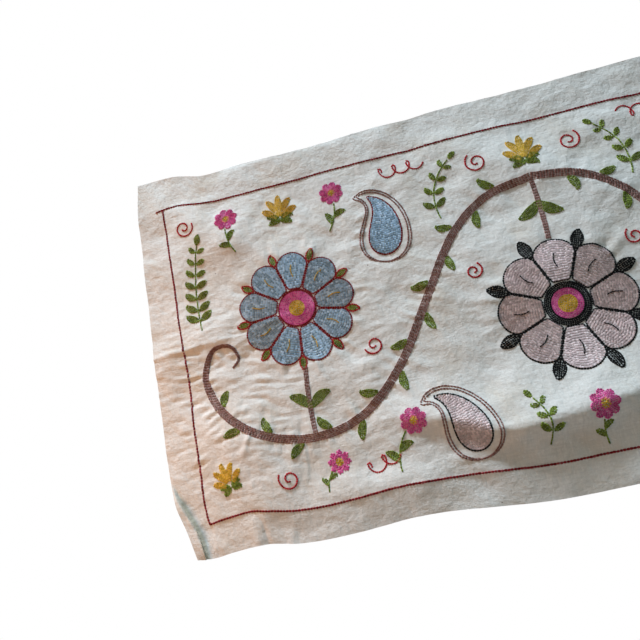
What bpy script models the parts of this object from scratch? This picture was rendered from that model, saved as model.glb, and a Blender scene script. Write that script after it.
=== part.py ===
"""Embroidered cotton wall hanging: the bare cloth, in the shape in which it hangs.

The panel is one undyed cotton sheet, longer than it is deep, held along its top edge against a
wall. +X runs along its length, +Z is up, and its face looks towards -Y. The origin is the middle
of the top edge, on the wall side of the cloth. Depth is how far that side stands off the wall.
"""

from collections import namedtuple

import bmesh
import bpy
import numpy as np

PANEL_LENGTH = 0.92
PANEL_DROP = 0.45
CLOTH_THICKNESS = 0.0012
EDGE_EASE = 0.06  # how far into the cloth a wandering edge still pulls it
LINE_STEPS = 5  # straight pieces between two sections of a fold

COTTON_COLOR = (0.78, 0.74, 0.66, 1.0)
COTTON_ROUGHNESS = 0.92

Zone = namedtuple("Zone", "name end cells")
EdgePoint = namedtuple("EdgePoint", "along across")
Section = namedtuple("Section", "x z rise reach_left reach_right")
Curl = namedtuple("Curl", "top_z risen_z full_z strip_start strip_end flank rise")

# Columns of the grid, with ends as shares of the length: narrow ones where the left edge curls.
COLUMN_ZONES = (
    Zone("left curl", 0.034, 7),
    Zone("left half", 0.500, 28),
    Zone("right half", 1.000, 28),
)
# Rows of the grid, with ends as shares of the drop: narrow ones at the belly's underside.
ROW_ZONES = (
    Zone("upper part", 0.710, 19),
    Zone("belly's underside", 0.930, 14),
    Zone("foot", 1.000, 3),
)

# Where each edge of the cloth really runs: how far along, then its X or Z.
TOP_EDGE = (
    EdgePoint(-0.460, 0.002),
    EdgePoint(-0.448, 0.003),
    EdgePoint(-0.402, 0.001),
    EdgePoint(-0.380, -0.005),
    EdgePoint(-0.330, -0.003),
    EdgePoint(-0.270, -0.005),
    EdgePoint(-0.200, -0.002),
    EdgePoint(-0.150, 0.000),
    EdgePoint(-0.122, -0.001),
    EdgePoint(-0.100, 0.001),
    EdgePoint(0.000, 0.001),
    EdgePoint(0.130, 0.003),
    EdgePoint(0.270, -0.001),
    EdgePoint(0.400, 0.003),
    EdgePoint(0.460, 0.001),
)
BOTTOM_EDGE = (
    EdgePoint(-0.460, -0.451),
    EdgePoint(-0.430, -0.452),
    EdgePoint(-0.405, -0.4495),
    EdgePoint(-0.360, -0.4475),
    EdgePoint(-0.325, -0.452),
    EdgePoint(-0.260, -0.451),
    EdgePoint(-0.200, -0.446),
    EdgePoint(-0.060, -0.453),
    EdgePoint(0.100, -0.448),
    EdgePoint(0.240, -0.453),
    EdgePoint(0.370, -0.446),
    EdgePoint(0.460, -0.450),
)
LEFT_EDGE = (
    EdgePoint(-0.450, -0.4333),
    EdgePoint(-0.425, -0.4400),
    EdgePoint(-0.408, -0.4460),
    EdgePoint(-0.390, -0.4518),
    EdgePoint(-0.350, -0.4572),
    EdgePoint(-0.300, -0.459),
    EdgePoint(-0.220, -0.461),
    EdgePoint(-0.100, -0.463),
    EdgePoint(-0.040, -0.463),
    EdgePoint(0.000, -0.460),
)
RIGHT_EDGE = (
    EdgePoint(-0.450, 0.456),
    EdgePoint(-0.390, 0.461),
    EdgePoint(-0.280, 0.458),
    EdgePoint(-0.130, 0.464),
    EdgePoint(0.000, 0.460),
)

# Soft folds, each a ridge along a line through its sections. The reaches are how wide it is to the
# left and right of the line, as seen from the front by someone going from its first section on.
FOLDS = {
    "corner pull": (
        Section(-0.440, -0.028, 0.0000, 0.014, 0.010),
        Section(-0.415, -0.054, 0.0035, 0.022, 0.014),
        Section(-0.375, -0.088, 0.0070, 0.032, 0.020),
        Section(-0.325, -0.126, 0.0050, 0.036, 0.026),
        Section(-0.245, -0.165, 0.0000, 0.040, 0.032),
    ),
    "left wrinkle": (
        Section(-0.480, -0.228, 0.0050, 0.012, 0.014),
        Section(-0.430, -0.223, 0.0035, 0.013, 0.015),
        Section(-0.375, -0.211, 0.0045, 0.014, 0.018),
        Section(-0.310, -0.205, 0.0000, 0.014, 0.018),
    ),
    "lower left swell": (
        Section(-0.405, -0.285, 0.0000, 0.035, 0.035),
        Section(-0.375, -0.340, 0.0080, 0.044, 0.040),
        Section(-0.352, -0.390, 0.0070, 0.040, 0.038),
        Section(-0.342, -0.480, 0.0015, 0.035, 0.030),
    ),
    "belly": (
        Section(-0.245, -0.325, 0.0000, 0.030, 0.030),
        Section(-0.180, -0.350, 0.0040, 0.044, 0.040),
        Section(-0.130, -0.362, 0.0060, 0.060, 0.042),
        Section(-0.090, -0.378, 0.0080, 0.074, 0.042),
        Section(-0.010, -0.374, 0.0090, 0.080, 0.044),
        Section(0.075, -0.360, 0.0080, 0.074, 0.052),
        Section(0.160, -0.338, 0.0050, 0.066, 0.060),
        Section(0.240, -0.325, 0.0000, 0.060, 0.050),
    ),
    "belly's crest": (
        Section(-0.225, -0.340, 0.0000, 0.018, 0.010),
        Section(-0.180, -0.350, 0.0050, 0.023, 0.011),
        Section(-0.130, -0.362, 0.0085, 0.027, 0.013),
        Section(-0.090, -0.378, 0.0120, 0.032, 0.014),
        Section(-0.040, -0.376, 0.0120, 0.034, 0.015),
        Section(0.030, -0.366, 0.0100, 0.036, 0.016),
        Section(0.120, -0.350, 0.0000, 0.030, 0.020),
    ),
    "middle swell": (
        Section(-0.160, -0.238, 0.0000, 0.050, 0.040),
        Section(-0.060, -0.222, 0.0050, 0.060, 0.045),
        Section(0.060, -0.200, 0.0055, 0.060, 0.045),
        Section(0.150, -0.195, 0.0000, 0.050, 0.040),
    ),
    "upper fold": (
        Section(-0.115, -0.035, 0.0000, 0.018, 0.022),
        Section(-0.045, -0.072, 0.0050, 0.021, 0.028),
        Section(0.040, -0.116, 0.0060, 0.025, 0.034),
        Section(0.120, -0.165, 0.0000, 0.028, 0.034),
    ),
    "right pull": (
        Section(0.452, -0.010, 0.0000, 0.010, 0.012),
        Section(0.425, -0.040, 0.0050, 0.014, 0.020),
        Section(0.370, -0.098, 0.0090, 0.022, 0.034),
        Section(0.300, -0.155, 0.0055, 0.028, 0.038),
        Section(0.215, -0.200, 0.0000, 0.032, 0.040),
    ),
    "right drop": (
        Section(0.402, -0.160, 0.0000, 0.024, 0.026),
        Section(0.392, -0.260, 0.0060, 0.027, 0.030),
        Section(0.400, -0.360, 0.0090, 0.028, 0.034),
        Section(0.414, -0.490, 0.0110, 0.030, 0.036),
    ),
    "right inner drop": (
        Section(0.230, -0.260, 0.0000, 0.026, 0.024),
        Section(0.255, -0.360, 0.0055, 0.030, 0.026),
        Section(0.288, -0.490, 0.0080, 0.032, 0.028),
    ),
    "top, left of the middle": (
        Section(-0.400, 0.012, 0.0000, 0.030, 0.030),
        Section(-0.280, 0.012, 0.0035, 0.032, 0.034),
        Section(-0.140, 0.012, 0.0000, 0.030, 0.030),
    ),
    "top, right of the middle": (
        Section(0.110, 0.012, 0.0000, 0.030, 0.030),
        Section(0.240, 0.012, 0.0040, 0.032, 0.036),
        Section(0.370, 0.012, 0.0000, 0.030, 0.030),
    ),
    "swell along the foot": (
        Section(-0.315, -0.409, 0.0000, 0.014, 0.024),
        Section(-0.280, -0.411, 0.0047, 0.015, 0.028),
        Section(-0.190, -0.410, 0.0055, 0.015, 0.029),
        Section(-0.120, -0.408, 0.0020, 0.018, 0.030),
        Section(-0.070, -0.406, 0.0000, 0.018, 0.030),
    ),
    "foot, right": (
        Section(-0.020, -0.475, 0.0000, 0.032, 0.030),
        Section(0.080, -0.470, 0.0085, 0.040, 0.030),
        Section(0.190, -0.475, 0.0000, 0.032, 0.030),
    ),
}
LEFT_CURL = Curl(-0.362, -0.400, -0.437, strip_start=0.000, strip_end=0.012, flank=0.0055, rise=0.0045)


def ease(share):
    """0 up to 0 and 1 from 1 on, easing between."""
    share = np.clip(share, 0.0, 1.0)
    return share * share * (3 - 2 * share)


def edge_at(points, along):
    """The edge's X or Z at those places along it, on a smooth curve through its points."""
    starts = np.array([point.along for point in points])
    across = np.array([point.across for point in points])
    slopes = np.gradient(across, starts)
    after = np.clip(np.searchsorted(starts, along), 1, len(points) - 1)
    gap = starts[after] - starts[after - 1]
    share = np.clip((along - starts[after - 1]) / gap, 0.0, 1.0)
    level = across[after - 1] + ease(share) * (across[after] - across[after - 1])
    leaving = slopes[after - 1] * share * (1 - share) ** 2
    arriving = slopes[after] * share**2 * (1 - share)
    return level + gap * (leaving - arriving)


def zoned(shares, zones):
    """Where the grid's lines stand, as shares from 0 to 1, when they are counted evenly."""
    counted = np.cumsum([0] + [zone.cells for zone in zones])
    ends = [0.0] + [zone.end for zone in zones]
    return np.interp(shares * counted[-1], counted, ends)


def place_on_wall(flat_x, flat_z):
    """X and Z in which places of the flat cloth hang, with the edges where they really run."""
    half = PANEL_LENGTH / 2
    left = edge_at(LEFT_EDGE, flat_z) + half
    right = edge_at(RIGHT_EDGE, flat_z) - half
    top = edge_at(TOP_EDGE, flat_x)
    bottom = edge_at(BOTTOM_EDGE, flat_x) + PANEL_DROP
    x = flat_x + left * np.exp(-(flat_x + half) / EDGE_EASE)
    x += right * np.exp(-(half - flat_x) / EDGE_EASE)
    z = flat_z + top * np.exp(flat_z / EDGE_EASE)
    z += bottom * np.exp(-(flat_z + PANEL_DROP) / EDGE_EASE)
    return x, z


def smooth_line(sections):
    """Rows of a fold's sections with more between them, along a Catmull-Rom curve."""
    rows = np.array(sections)
    rows = np.vstack([2 * rows[0] - rows[1], rows, 2 * rows[-1] - rows[-2]])
    line = []
    for before, start, end, after in zip(rows, rows[1:], rows[2:], rows[3:]):
        for share in np.arange(LINE_STEPS) / LINE_STEPS:
            bend = 2 * before - 5 * start + 4 * end - after
            twist = 3 * (start - end) + after - before
            slope = end - before
            line.append(start + share * (slope + share * (bend + share * twist)) / 2)
    line.append(rows[-2])
    return line


def fold_depth(sections, x, z):
    """How far one fold stands off the wall at those places."""
    nearest = np.full(x.shape, np.inf)
    depth = np.zeros(x.shape)
    line = smooth_line(sections)
    for start, end in zip(line, line[1:]):
        run_x, run_z = end[:2] - start[:2]
        out_x, out_z = x - start[0], z - start[1]
        along = (out_x * run_x + out_z * run_z) / (run_x**2 + run_z**2)
        share = np.clip(along, 0.0, 1.0)
        distance = np.hypot(out_x - share * run_x, out_z - share * run_z)
        here = Section(*(start[:, None, None] + share * (end - start)[:, None, None]))
        on_left = run_x * out_z - run_z * out_x > 0
        reach = np.where(on_left, here.reach_left, here.reach_right)
        closer = distance < nearest
        nearest[closer] = distance[closer]
        depth[closer] = (here.rise * np.exp(-((distance / reach) ** 2)))[closer]
    return np.maximum(depth, 0.0)


def curl_depth(curl, from_left, z):
    """How far the lower left corner turns forward: an edge strip, then a steep flank."""
    grown = ease((z - curl.top_z) / (curl.full_z - curl.top_z))
    strip = curl.strip_start + grown * (curl.strip_end - curl.strip_start)
    risen = ease((z - curl.top_z) / (curl.risen_z - curl.top_z))
    return curl.rise * risen * (1 - ease((from_left - strip) / curl.flank))


def cotton():
    material = bpy.data.materials.new("undyed_cotton")
    material.use_nodes = True
    shader = material.node_tree.nodes["Principled BSDF"]
    shader.inputs["Base Color"].default_value = COTTON_COLOR
    shader.inputs["Roughness"].default_value = COTTON_ROUGHNESS
    shader.inputs["Metallic"].default_value = 0.0
    return material


def hung_sheet():
    """The wall side of the cloth, as an open grid whose faces look out of the wall."""
    columns = sum(zone.cells for zone in COLUMN_ZONES)
    rows = sum(zone.cells for zone in ROW_ZONES)
    grid = bmesh.new()
    bmesh.ops.create_grid(grid, x_segments=columns, y_segments=rows, size=0.5)
    corners = np.array([vertex.co for vertex in grid.verts])
    corners = corners.reshape(rows + 1, columns + 1, 3)
    flat_x = (zoned(corners[..., 0] + 0.5, COLUMN_ZONES) - 0.5) * PANEL_LENGTH
    flat_z = -zoned(0.5 - corners[..., 1], ROW_ZONES) * PANEL_DROP
    x, z = place_on_wall(flat_x, flat_z)
    depth = curl_depth(LEFT_CURL, flat_x + PANEL_LENGTH / 2, z)
    depth += sum(fold_depth(sections, x, z) for sections in FOLDS.values())
    for vertex, place in zip(grid.verts, np.stack([x, -depth, z], -1).reshape(-1, 3)):
        vertex.co = place
    mesh = bpy.data.meshes.new("cotton_panel")
    grid.to_mesh(mesh)
    grid.free()
    mesh.shade_smooth()
    return mesh


def main():
    for old in list(bpy.data.objects):
        bpy.data.objects.remove(old, do_unlink=True)
    panel = bpy.data.objects.new("cotton_panel", hung_sheet())
    bpy.context.scene.collection.objects.link(panel)
    panel.data.materials.append(cotton())
    # Both sides of the cloth share one set of diagonals, so it is as thick everywhere.
    panel.modifiers.new("Triangles", "TRIANGULATE")
    body = panel.modifiers.new("Thickness", "SOLIDIFY")
    body.thickness = CLOTH_THICKNESS
    body.offset = 1.0
    body.use_even_offset = True


main()
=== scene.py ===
"""Dresses the frame of a hung cotton panel: its creased cloth, its chain stitch and a plain stage."""

from functools import lru_cache
from math import pi, radians, tau
from typing import NamedTuple

import bpy
import numpy as np
from bpy.props import FloatProperty, FloatVectorProperty, IntProperty, PointerProperty
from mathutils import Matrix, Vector
from mathutils.bvhtree import BVHTree


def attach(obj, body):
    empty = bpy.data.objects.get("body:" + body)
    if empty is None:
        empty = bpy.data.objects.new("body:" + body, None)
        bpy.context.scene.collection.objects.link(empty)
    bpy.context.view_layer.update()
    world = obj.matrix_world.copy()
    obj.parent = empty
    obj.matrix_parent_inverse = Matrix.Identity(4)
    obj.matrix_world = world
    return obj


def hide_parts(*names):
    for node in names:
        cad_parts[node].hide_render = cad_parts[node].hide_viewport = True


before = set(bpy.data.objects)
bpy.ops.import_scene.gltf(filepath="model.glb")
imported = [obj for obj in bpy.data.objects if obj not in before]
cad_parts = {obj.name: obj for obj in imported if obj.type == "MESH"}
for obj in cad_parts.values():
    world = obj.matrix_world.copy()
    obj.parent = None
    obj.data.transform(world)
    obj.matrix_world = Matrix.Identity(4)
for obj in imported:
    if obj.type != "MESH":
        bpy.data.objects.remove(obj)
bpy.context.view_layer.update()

bl_info = {
    "name": "Embroidered wall hanging",
    "version": (1, 0, 0),
    "blender": (4, 5, 0),
    "location": "3D View > Sidebar > Hanging",
    "description": "Makes an embroidered cotton wall hanging and a plain stage for it",
    "category": "Object",
}

# The cut cloth, in metres. A flat place on it is a complex number: x from its middle, and z from its top
# edge, below 0 all over the cloth.
PANEL_WIDTH = 0.92
PANEL_DROP = 0.45
FRAME_NODE = "cotton_panel"

# How far in from an edge the edge's wandering is felt.
EDGE_EASE = 0.06

# The columns of the cloth's mesh: x, and how far apart they stand there. They are closest at sharp folds.
MESH_COLUMNS = (
    (-0.460, 0.0012), (-0.440, 0.0012), (-0.434, 0.0026), (-0.374, 0.0026), (-0.371, 0.0016),
    (-0.357, 0.0016), (-0.354, 0.0028), (-0.309, 0.0028), (-0.306, 0.0016), (-0.298, 0.0016),
    (-0.295, 0.0030), (-0.150, 0.0040), (0.000, 0.0052), (0.460, 0.0052),
)  # fmt: skip
COLUMN_TRIALS = 2001
GRID_ROWS = 201
RELIEF_STEP = 0.0012

# The usual breadth of a row of chain stitch: one of many side by side, and one that is a line by itself.
ROW = 0.0019
LINE = 0.0024

# The usual stitch, which the settings and the tree that lays the stitches both start from.
STITCH_LENGTH = 0.0032
STITCH_UNEVENNESS = 0.16
STITCH_SEED = 7


# ---------------------------------------------------------------- settings


class ClothSettings(bpy.types.PropertyGroup):
    """Sizes and colours of the cotton."""

    thickness: FloatProperty(
        name="Thickness", description="Thickness of the cotton", default=0.0006, min=0.0002, unit="LENGTH"
    )
    thread_gap: FloatProperty(
        name="Thread gap", description="Distance between threads of the weave", default=0.00062, unit="LENGTH"
    )
    crumple: FloatProperty(
        name="Crumple", description="Height of the soft crumples", default=0.0012, unit="LENGTH"
    )
    pucker: FloatProperty(
        name="Pucker", description="Typical height of the puckers beside the stitches", default=0.0010,
        unit="LENGTH"
    )
    strain: FloatProperty(
        name="Strain", description="Height of the close wrinkles where the stitches shrink the cloth",
        default=0.0009, unit="LENGTH"
    )
    colour: FloatVectorProperty(
        name="Cotton", description="Undyed cotton", default=(0.74, 0.72, 0.685), subtype="COLOR", min=0, max=1
    )
    stain: FloatVectorProperty(
        name="Aged cotton", description="Cotton where it has yellowed", default=(0.58, 0.49, 0.38),
        subtype="COLOR", min=0, max=1
    )


class StitchSettings(bpy.types.PropertyGroup):
    """Sizes of the chain stitch."""

    length: FloatProperty(
        name="Stitch", description="Length of one link of the chain", default=STITCH_LENGTH, unit="LENGTH"
    )
    height: FloatProperty(
        name="Height", description="How far a row stands above the cotton", default=0.0005, unit="LENGTH"
    )
    unevenness: FloatProperty(
        name="Unevenness", description="How much one link differs from the next", default=STITCH_UNEVENNESS,
        subtype="FACTOR"
    )
    seed: IntProperty(name="Seed", description="Start of the random differences", default=STITCH_SEED)


def thread_colour(name, colour):
    return FloatVectorProperty(
        name=name, description=f"Colour of the {name.lower()} thread", default=colour, subtype="COLOR", min=0,
        max=1
    )


class ThreadSettings(bpy.types.PropertyGroup):
    """Colours of the embroidery thread."""

    border_red: thread_colour("Border red", (0.34, 0.010, 0.018))
    bright_red: thread_colour("Bright red", (0.64, 0.016, 0.028))
    blue: thread_colour("Blue", (0.50, 0.74, 0.95))
    taupe: thread_colour("Taupe", (1.0, 0.80, 0.80))
    brown: thread_colour("Brown", (0.38, 0.190, 0.160))
    green: thread_colour("Green", (0.295, 0.400, 0.046))
    magenta: thread_colour("Magenta", (0.95, 0.130, 0.46))
    yellow: thread_colour("Yellow", (0.94, 0.60, 0.055))
    black: thread_colour("Black", (0.0050, 0.0045, 0.0055))


class StageSettings(bpy.types.PropertyGroup):
    """The floor and the light."""

    floor_drop: FloatProperty(
        name="Floor", description="How far the floor lies below the top edge", default=1.5, unit="LENGTH"
    )
    floor_radius: FloatProperty(
        name="Floor radius", description="Radius of the pale floor", default=1.2, unit="LENGTH"
    )
    daylight: FloatProperty(
        name="Daylight", description="Power of the cool window light", default=75.0, unit="POWER"
    )
    lamplight: FloatProperty(
        name="Lamplight", description="Power of the warm room light", default=1.75, unit="POWER"
    )
    backlight: FloatProperty(
        name="Backlight", description="Power of the light on the back", default=15.0, unit="POWER"
    )
    ambient: FloatProperty(name="Ambient", description="Strength of the soft light from above", default=0.35)


# ---------------------------------------------------------------- flat lines

BOW_POINTS = 28
LINE_STEP = 0.003


def heading(line):
    """The direction of a line at each of its points."""
    run = np.gradient(line)
    return run / np.abs(run)


def ease(share):
    """0 up to 0 and 1 from 1 on, easing between."""
    share = np.clip(share, 0, 1)
    return share * share * (3 - 2 * share)


def lengths_along(line):
    """How far along a line each of its points lies."""
    return np.append(0, np.cumsum(np.abs(np.diff(line))))


def bow(start, stop, bend, count=BOW_POINTS):
    """An arc whose middle stands off its chord by bend times its length."""
    share = np.linspace(0, 1, count)
    return start + (stop - start) * (share + 4j * bend * share * (1 - share))


def through(corners):
    """A smooth line through corners."""
    corners = np.asarray(corners, complex)
    known = np.concatenate([[2 * corners[0] - corners[1]], corners, [2 * corners[-1] - corners[-2]]])
    line = []
    for before, start, stop, after in zip(known, known[1:], known[2:], known[3:]):
        share = np.linspace(0, 1, max(int(abs(stop - start) / LINE_STEP), 3), endpoint=False)
        slope = (stop - before) * share
        turn = (2 * before - 5 * start + 4 * stop - after) * share**2
        twist = (3 * start - before - 3 * stop + after) * share**3
        line.append(start + (slope + turn + twist) / 2)
    return np.append(np.concatenate(line), corners[-1])


def even_steps(line, step):
    """The same line with points about step apart."""
    run = lengths_along(line)
    stations = np.linspace(0, run[-1], max(int(np.ceil(run[-1] / step)), 1) + 1)
    return np.interp(stations, run, line.real) + 1j * np.interp(stations, run, line.imag)


def resampled(line, values, count):
    """One number, or the numbers along a line, as count numbers an even step apart."""
    if np.ndim(values) == 0:
        return np.full(count, values)
    run = lengths_along(line)
    return np.interp(np.linspace(0, run[-1], count), run, values)


# ---------------------------------------------------------------- needlework

# Filled shapes: the least half width that takes a row and how far in the rows start, both as shares of a row;
# how far a row may run over; the half width whose stitches are longest, and the shortest and longest pace.
NARROWEST_FILL = 0.62
FILL_INSET = 0.9
ROW_OVERRUN = 0.1
FULL_FILL = 0.010
FILL_PACES = (0.7, 0.85)
TAPERED_ROW = 0.35

# A disc's spiral: its points for each turn, how far it runs on, and where it starts and ends within a row.
DISC_POINTS = 30
DISC_LEAST_POINTS = 8
DISC_RUN_ON = 1.2
DISC_START = 0.6
DISC_LAG = 0.7
DISC_PACE = 0.72
TENDRIL_PACE = 0.7


class Row(NamedTuple):
    """One row of chain stitch. Its width is one number, or one for each point of its line."""

    thread: str
    line: np.ndarray
    width: np.ndarray
    lift: float
    pace: float


class Needlework:
    """The rows of one group of motifs, and where they pull the cloth."""

    def __init__(self, seed):
        self.rows = []
        self.pulls = []
        self.chance = np.random.default_rng(seed)

    def row(self, thread, line, closed=False, width=ROW, lift=0.0, pace=1.0):
        """One row. Its pace is its stitches' length as a share of the usual one."""
        line = np.asarray(line, complex)
        if closed:
            line = np.append(line, line[0])
        self.rows.append(Row(thread, line, width, lift, pace))

    def fill(self, thread, spine, half, edge=None):
        """A shape that reaches half to each side of its spine: one row round it, and rows along it inside."""
        across = 1j * heading(spine)
        reach = half.max() - ROW / 2
        width = reach / max(round(reach / ROW), 1)
        keep = half > NARROWEST_FILL * width
        side = (np.maximum(half - width / 2, 0) * across)[keep]
        pace = np.clip(half.max() / FULL_FILL, *FILL_PACES)
        outline = np.concatenate([spine[keep] + side, (spine[keep] - side)[::-1]])
        self.row(edge or thread, outline, True, width, 0.0, pace)
        self.band(thread, spine, half - FILL_INSET * width, width, pace)

    def band(self, thread, spine, half, width=ROW, pace=1.0):
        """Rows side by side along a spine, out to half on each side."""
        across = 1j * heading(spine)
        most = int(max(half.max(), 0) / width)
        for step in range(-most, most + 1):
            inside = half - abs(step) * width > -ROW_OVERRUN * width
            if inside.sum() > 2:
                self.row(thread, (spine + step * width * across)[inside], False, width, 0.0, pace)

    def taper(self, thread, spine, half, share):
        """A band whose rows draw together and grow thinner where their share falls below 1."""
        across = 1j * heading(spine)
        most = int(half / ROW)
        for step in range(-most, most + 1):
            breadth = ROW * (TAPERED_ROW + (1 - TAPERED_ROW) * share)
            self.row(thread, spine + step * ROW * share * across, False, breadth)

    def disc(self, thread, centre, radius, inner=0.0):
        """A round patch, or a broad ring, sewn as one spiral."""
        first = min(DISC_START, (radius - inner) / ROW)
        turns = (radius - inner) / ROW + DISC_RUN_ON
        turn = np.linspace(0, turns, max(int(turns * DISC_POINTS), DISC_LEAST_POINTS))
        reach = np.clip(inner + ROW * (turn - DISC_LAG), inner + first * ROW, radius)
        self.row(thread, centre + reach * np.exp(1j * tau * turn), pace=DISC_PACE)

    def pull(self, places, outward):
        """The cloth is gathered at these places, and its puckers run outward."""
        self.pulls += list(zip(places, outward))


# How full a leaf's, a tulip petal's and a roundel petal's outlines are, and where they are broadest.
ALMOND_FULLNESS = 0.85
SPOON_FULLNESS = 0.62
SPOON_LATENESS = 1.7
PETAL_WIDEST = 0.62
PETAL_ROOT = 0.45
SWEEP_POINTS = 60


def almond(share):
    return np.sin(pi * share) ** ALMOND_FULLNESS


def spoon(share):
    return np.sin(pi * share**SPOON_LATENESS) ** SPOON_FULLNESS


def swept(count):
    """Shares from 0 to 1 that crowd together at both ends."""
    return (1 - np.cos(np.linspace(0, pi, count))) / 2


def petal_half(share, broad):
    """A petal's half width: straight sided at its root, and as round as a coin at its tip."""
    tip = np.sqrt(np.clip(1 - ((share - PETAL_WIDEST) / (1 - PETAL_WIDEST)) ** 2, 0, 1))
    root = ease(PETAL_ROOT + (1 - PETAL_ROOT) * share / PETAL_WIDEST)
    return broad * np.where(share > PETAL_WIDEST, tip, root)


def leaf(work, base, angle, length, broad, thread="green", edge=None, bend=0.0, shape=almond):
    """A leaf or petal that starts at base."""
    spine = bow(base, base + length * np.exp(1j * angle), bend)
    work.fill(thread, spine, broad / 2 * shape(np.linspace(0, 1, len(spine))), edge)


# A sprig's leaflets: where the first and the last pair stand, in pairs, how large the first are and how
# much smaller the last, how far they spread from the stem, their breadth and bend, and how large the one at
# the tip is.
FIRST_PAIR = 0.9
BARE_TIP = 0.5
LARGEST_LEAFLET = 1.15
LEAFLET_SHRINK = 0.45
LEAFLET_SPREAD = 0.95
LEAFLET_BREADTH = 0.5
LEAFLET_BEND = 0.05
TIP_LEAFLET = 0.9


def sprig(work, stem, pairs, leaflet):
    """A stem with pairs of leaflets that shrink towards its tip."""
    work.row("green", stem)
    way = np.angle(heading(stem))
    for index in range(pairs):
        at = int((index + FIRST_PAIR) / (pairs + BARE_TIP) * (len(stem) - 1))
        size = leaflet * (LARGEST_LEAFLET - LEAFLET_SHRINK * index / pairs)
        for side in (-1, 1):
            angle = way[at] + side * LEAFLET_SPREAD
            leaf(work, stem[at], angle, size, size * LEAFLET_BREADTH, bend=LEAFLET_BEND * side)
    leaf(work, stem[-1], way[-1], leaflet * TIP_LEAFLET, leaflet * LEAFLET_BREADTH)


# A daisy, as shares of its radius: where its petals start, how broad they swell and how full, the part of a
# half wave that they follow, and its yellow middle.
DAISY_PETALS = 8
DAISY_ROOT = 0.28
DAISY_SWELL = 0.36
DAISY_FULLNESS = 0.6
DAISY_WAVE_START = 0.12
DAISY_WAVE_SPAN = 0.80
DAISY_MIDDLE = 0.30
DAISY_POINTS = 12


def daisy(work, centre, radius, turn):
    """A ring of short magenta petals round a yellow middle."""
    for index in range(DAISY_PETALS):
        way = np.exp(1j * (turn + tau * index / DAISY_PETALS))
        spine = bow(centre + DAISY_ROOT * radius * way, centre + radius * way, 0.0, DAISY_POINTS)
        share = np.linspace(0, 1, len(spine))
        wave = np.sin(pi * np.clip(share * DAISY_WAVE_SPAN + DAISY_WAVE_START, 0, 1))
        swell = DAISY_SWELL * radius * wave**DAISY_FULLNESS
        wedge = np.abs(spine - centre) * np.tan(pi / DAISY_PETALS)
        work.fill("magenta", spine, np.minimum(swell, wedge))
    work.disc("yellow", centre, DAISY_MIDDLE * radius)


# A daisy's stalk: its leaves' length as a share of it, where each leaf stands and on which side, how far it
# spreads, its breadth and bend, and how far the flower turns at random.
STALK_POINTS = 40
STALK_LEAF = 0.36
STALK_LEAVES = ((0.16, 1), (0.34, -1))
STALK_LEAF_SPREAD = 0.85
STALK_LEAF_BREADTH = 0.46
STALK_LEAF_BEND = -0.15
DAISY_TURN = 0.3


def stalked_daisy(work, root, head, bend, radius):
    """A daisy on a bowed stalk with two leaves."""
    stalk = bow(root, head, bend, STALK_POINTS)
    work.row("green", stalk[np.abs(stalk - head) > radius])
    way = np.angle(heading(stalk))
    size = STALK_LEAF * abs(head - root)
    for share, side in STALK_LEAVES:
        at = int(share * len(stalk))
        angle = way[at] + side * STALK_LEAF_SPREAD
        leaf(work, stalk[at], angle, size, STALK_LEAF_BREADTH * size, bend=STALK_LEAF_BEND * side)
    daisy(work, head, radius, work.chance.normal(0, DAISY_TURN))


# A tulip's petals and sepals: how far each turns from the flower's way, and its reach as a share of its size.
TULIP_PETALS = ((-0.85, 0.72), (0.85, 0.72), (-0.44, 0.92), (0.44, 0.92), (0.0, 1.0))
TULIP_SEPALS = ((1.15, 0.55), (1.75, 0.42))
PETAL_START = 0.10
TULIP_PETAL_BREADTH = 0.25
TULIP_PETAL_BEND = -0.10
SEPAL_BREADTH = 0.24
SEPAL_BEND = 0.22


def tulip(work, base, angle, size):
    """Five golden petals fanned from a cup of green sepals."""
    broad = size * TULIP_PETAL_BREADTH
    for turn, reach in TULIP_PETALS:
        root = base + PETAL_START * size * np.exp(1j * (angle + turn))
        bend = TULIP_PETAL_BEND * np.sign(turn)
        leaf(work, root, angle + turn, size * reach, broad, "yellow", None, bend, spoon)
    for side in (-1, 1):
        for turn, reach in TULIP_SEPALS:
            leaf(work, base, angle + side * turn, size * reach, size * SEPAL_BREADTH, bend=-side * SEPAL_BEND)


# A run of loops, as shares of a loop's size: its advance for each radian, its sway along and across the run.
CURL_SIZE = 0.014
CURL_POINTS = 30
CURL_TAIL = 0.45
CURL_ADVANCE = 0.19
CURL_ALONG = 0.36
CURL_ACROSS = 0.5
CURL_BREADTH = 0.85


def curls(work, start, way, loops):
    """A running line of small red loops."""
    turn = np.linspace(-CURL_TAIL * pi, tau * loops + CURL_TAIL * pi - tau * 0.5, CURL_POINTS * loops)
    along = CURL_ADVANCE * turn - CURL_ALONG * np.sin(turn) + 1j * CURL_ACROSS * np.cos(turn)
    places = start + CURL_SIZE * np.exp(1j * way) * along
    work.row("bright_red", places, width=CURL_BREADTH * LINE, pace=TENDRIL_PACE)


SCROLL_POINTS = 70
SCROLL_TIGHTNESS = 0.84
SCROLL_BREADTH = 0.9


def scroll(work, centre, radius, start, turns, hand):
    """A red tendril wound in on itself."""
    share = np.linspace(0, 1, SCROLL_POINTS)
    reach = radius * (1 - SCROLL_TIGHTNESS * share)
    turn = np.exp(1j * (start + hand * tau * turns * share))
    work.row("bright_red", centre + reach * turn, width=SCROLL_BREADTH * LINE, pace=TENDRIL_PACE)


class Roundel(NamedTuple):
    """A round flower: how many petals it has, and its threads."""

    petals: int
    petal: str
    outline: str
    gap_leaf: str
    gap_edge: str
    vein: str
    leaf_size: float
    heart: float


BLUE_ROUNDEL = Roundel(9, "blue", "border_red", "green", "bright_red", "yellow", 0.27, 0.50)
TAUPE_ROUNDEL = Roundel(8, "taupe", "black", "black", "black", "black", 0.36, 0.28)

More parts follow.
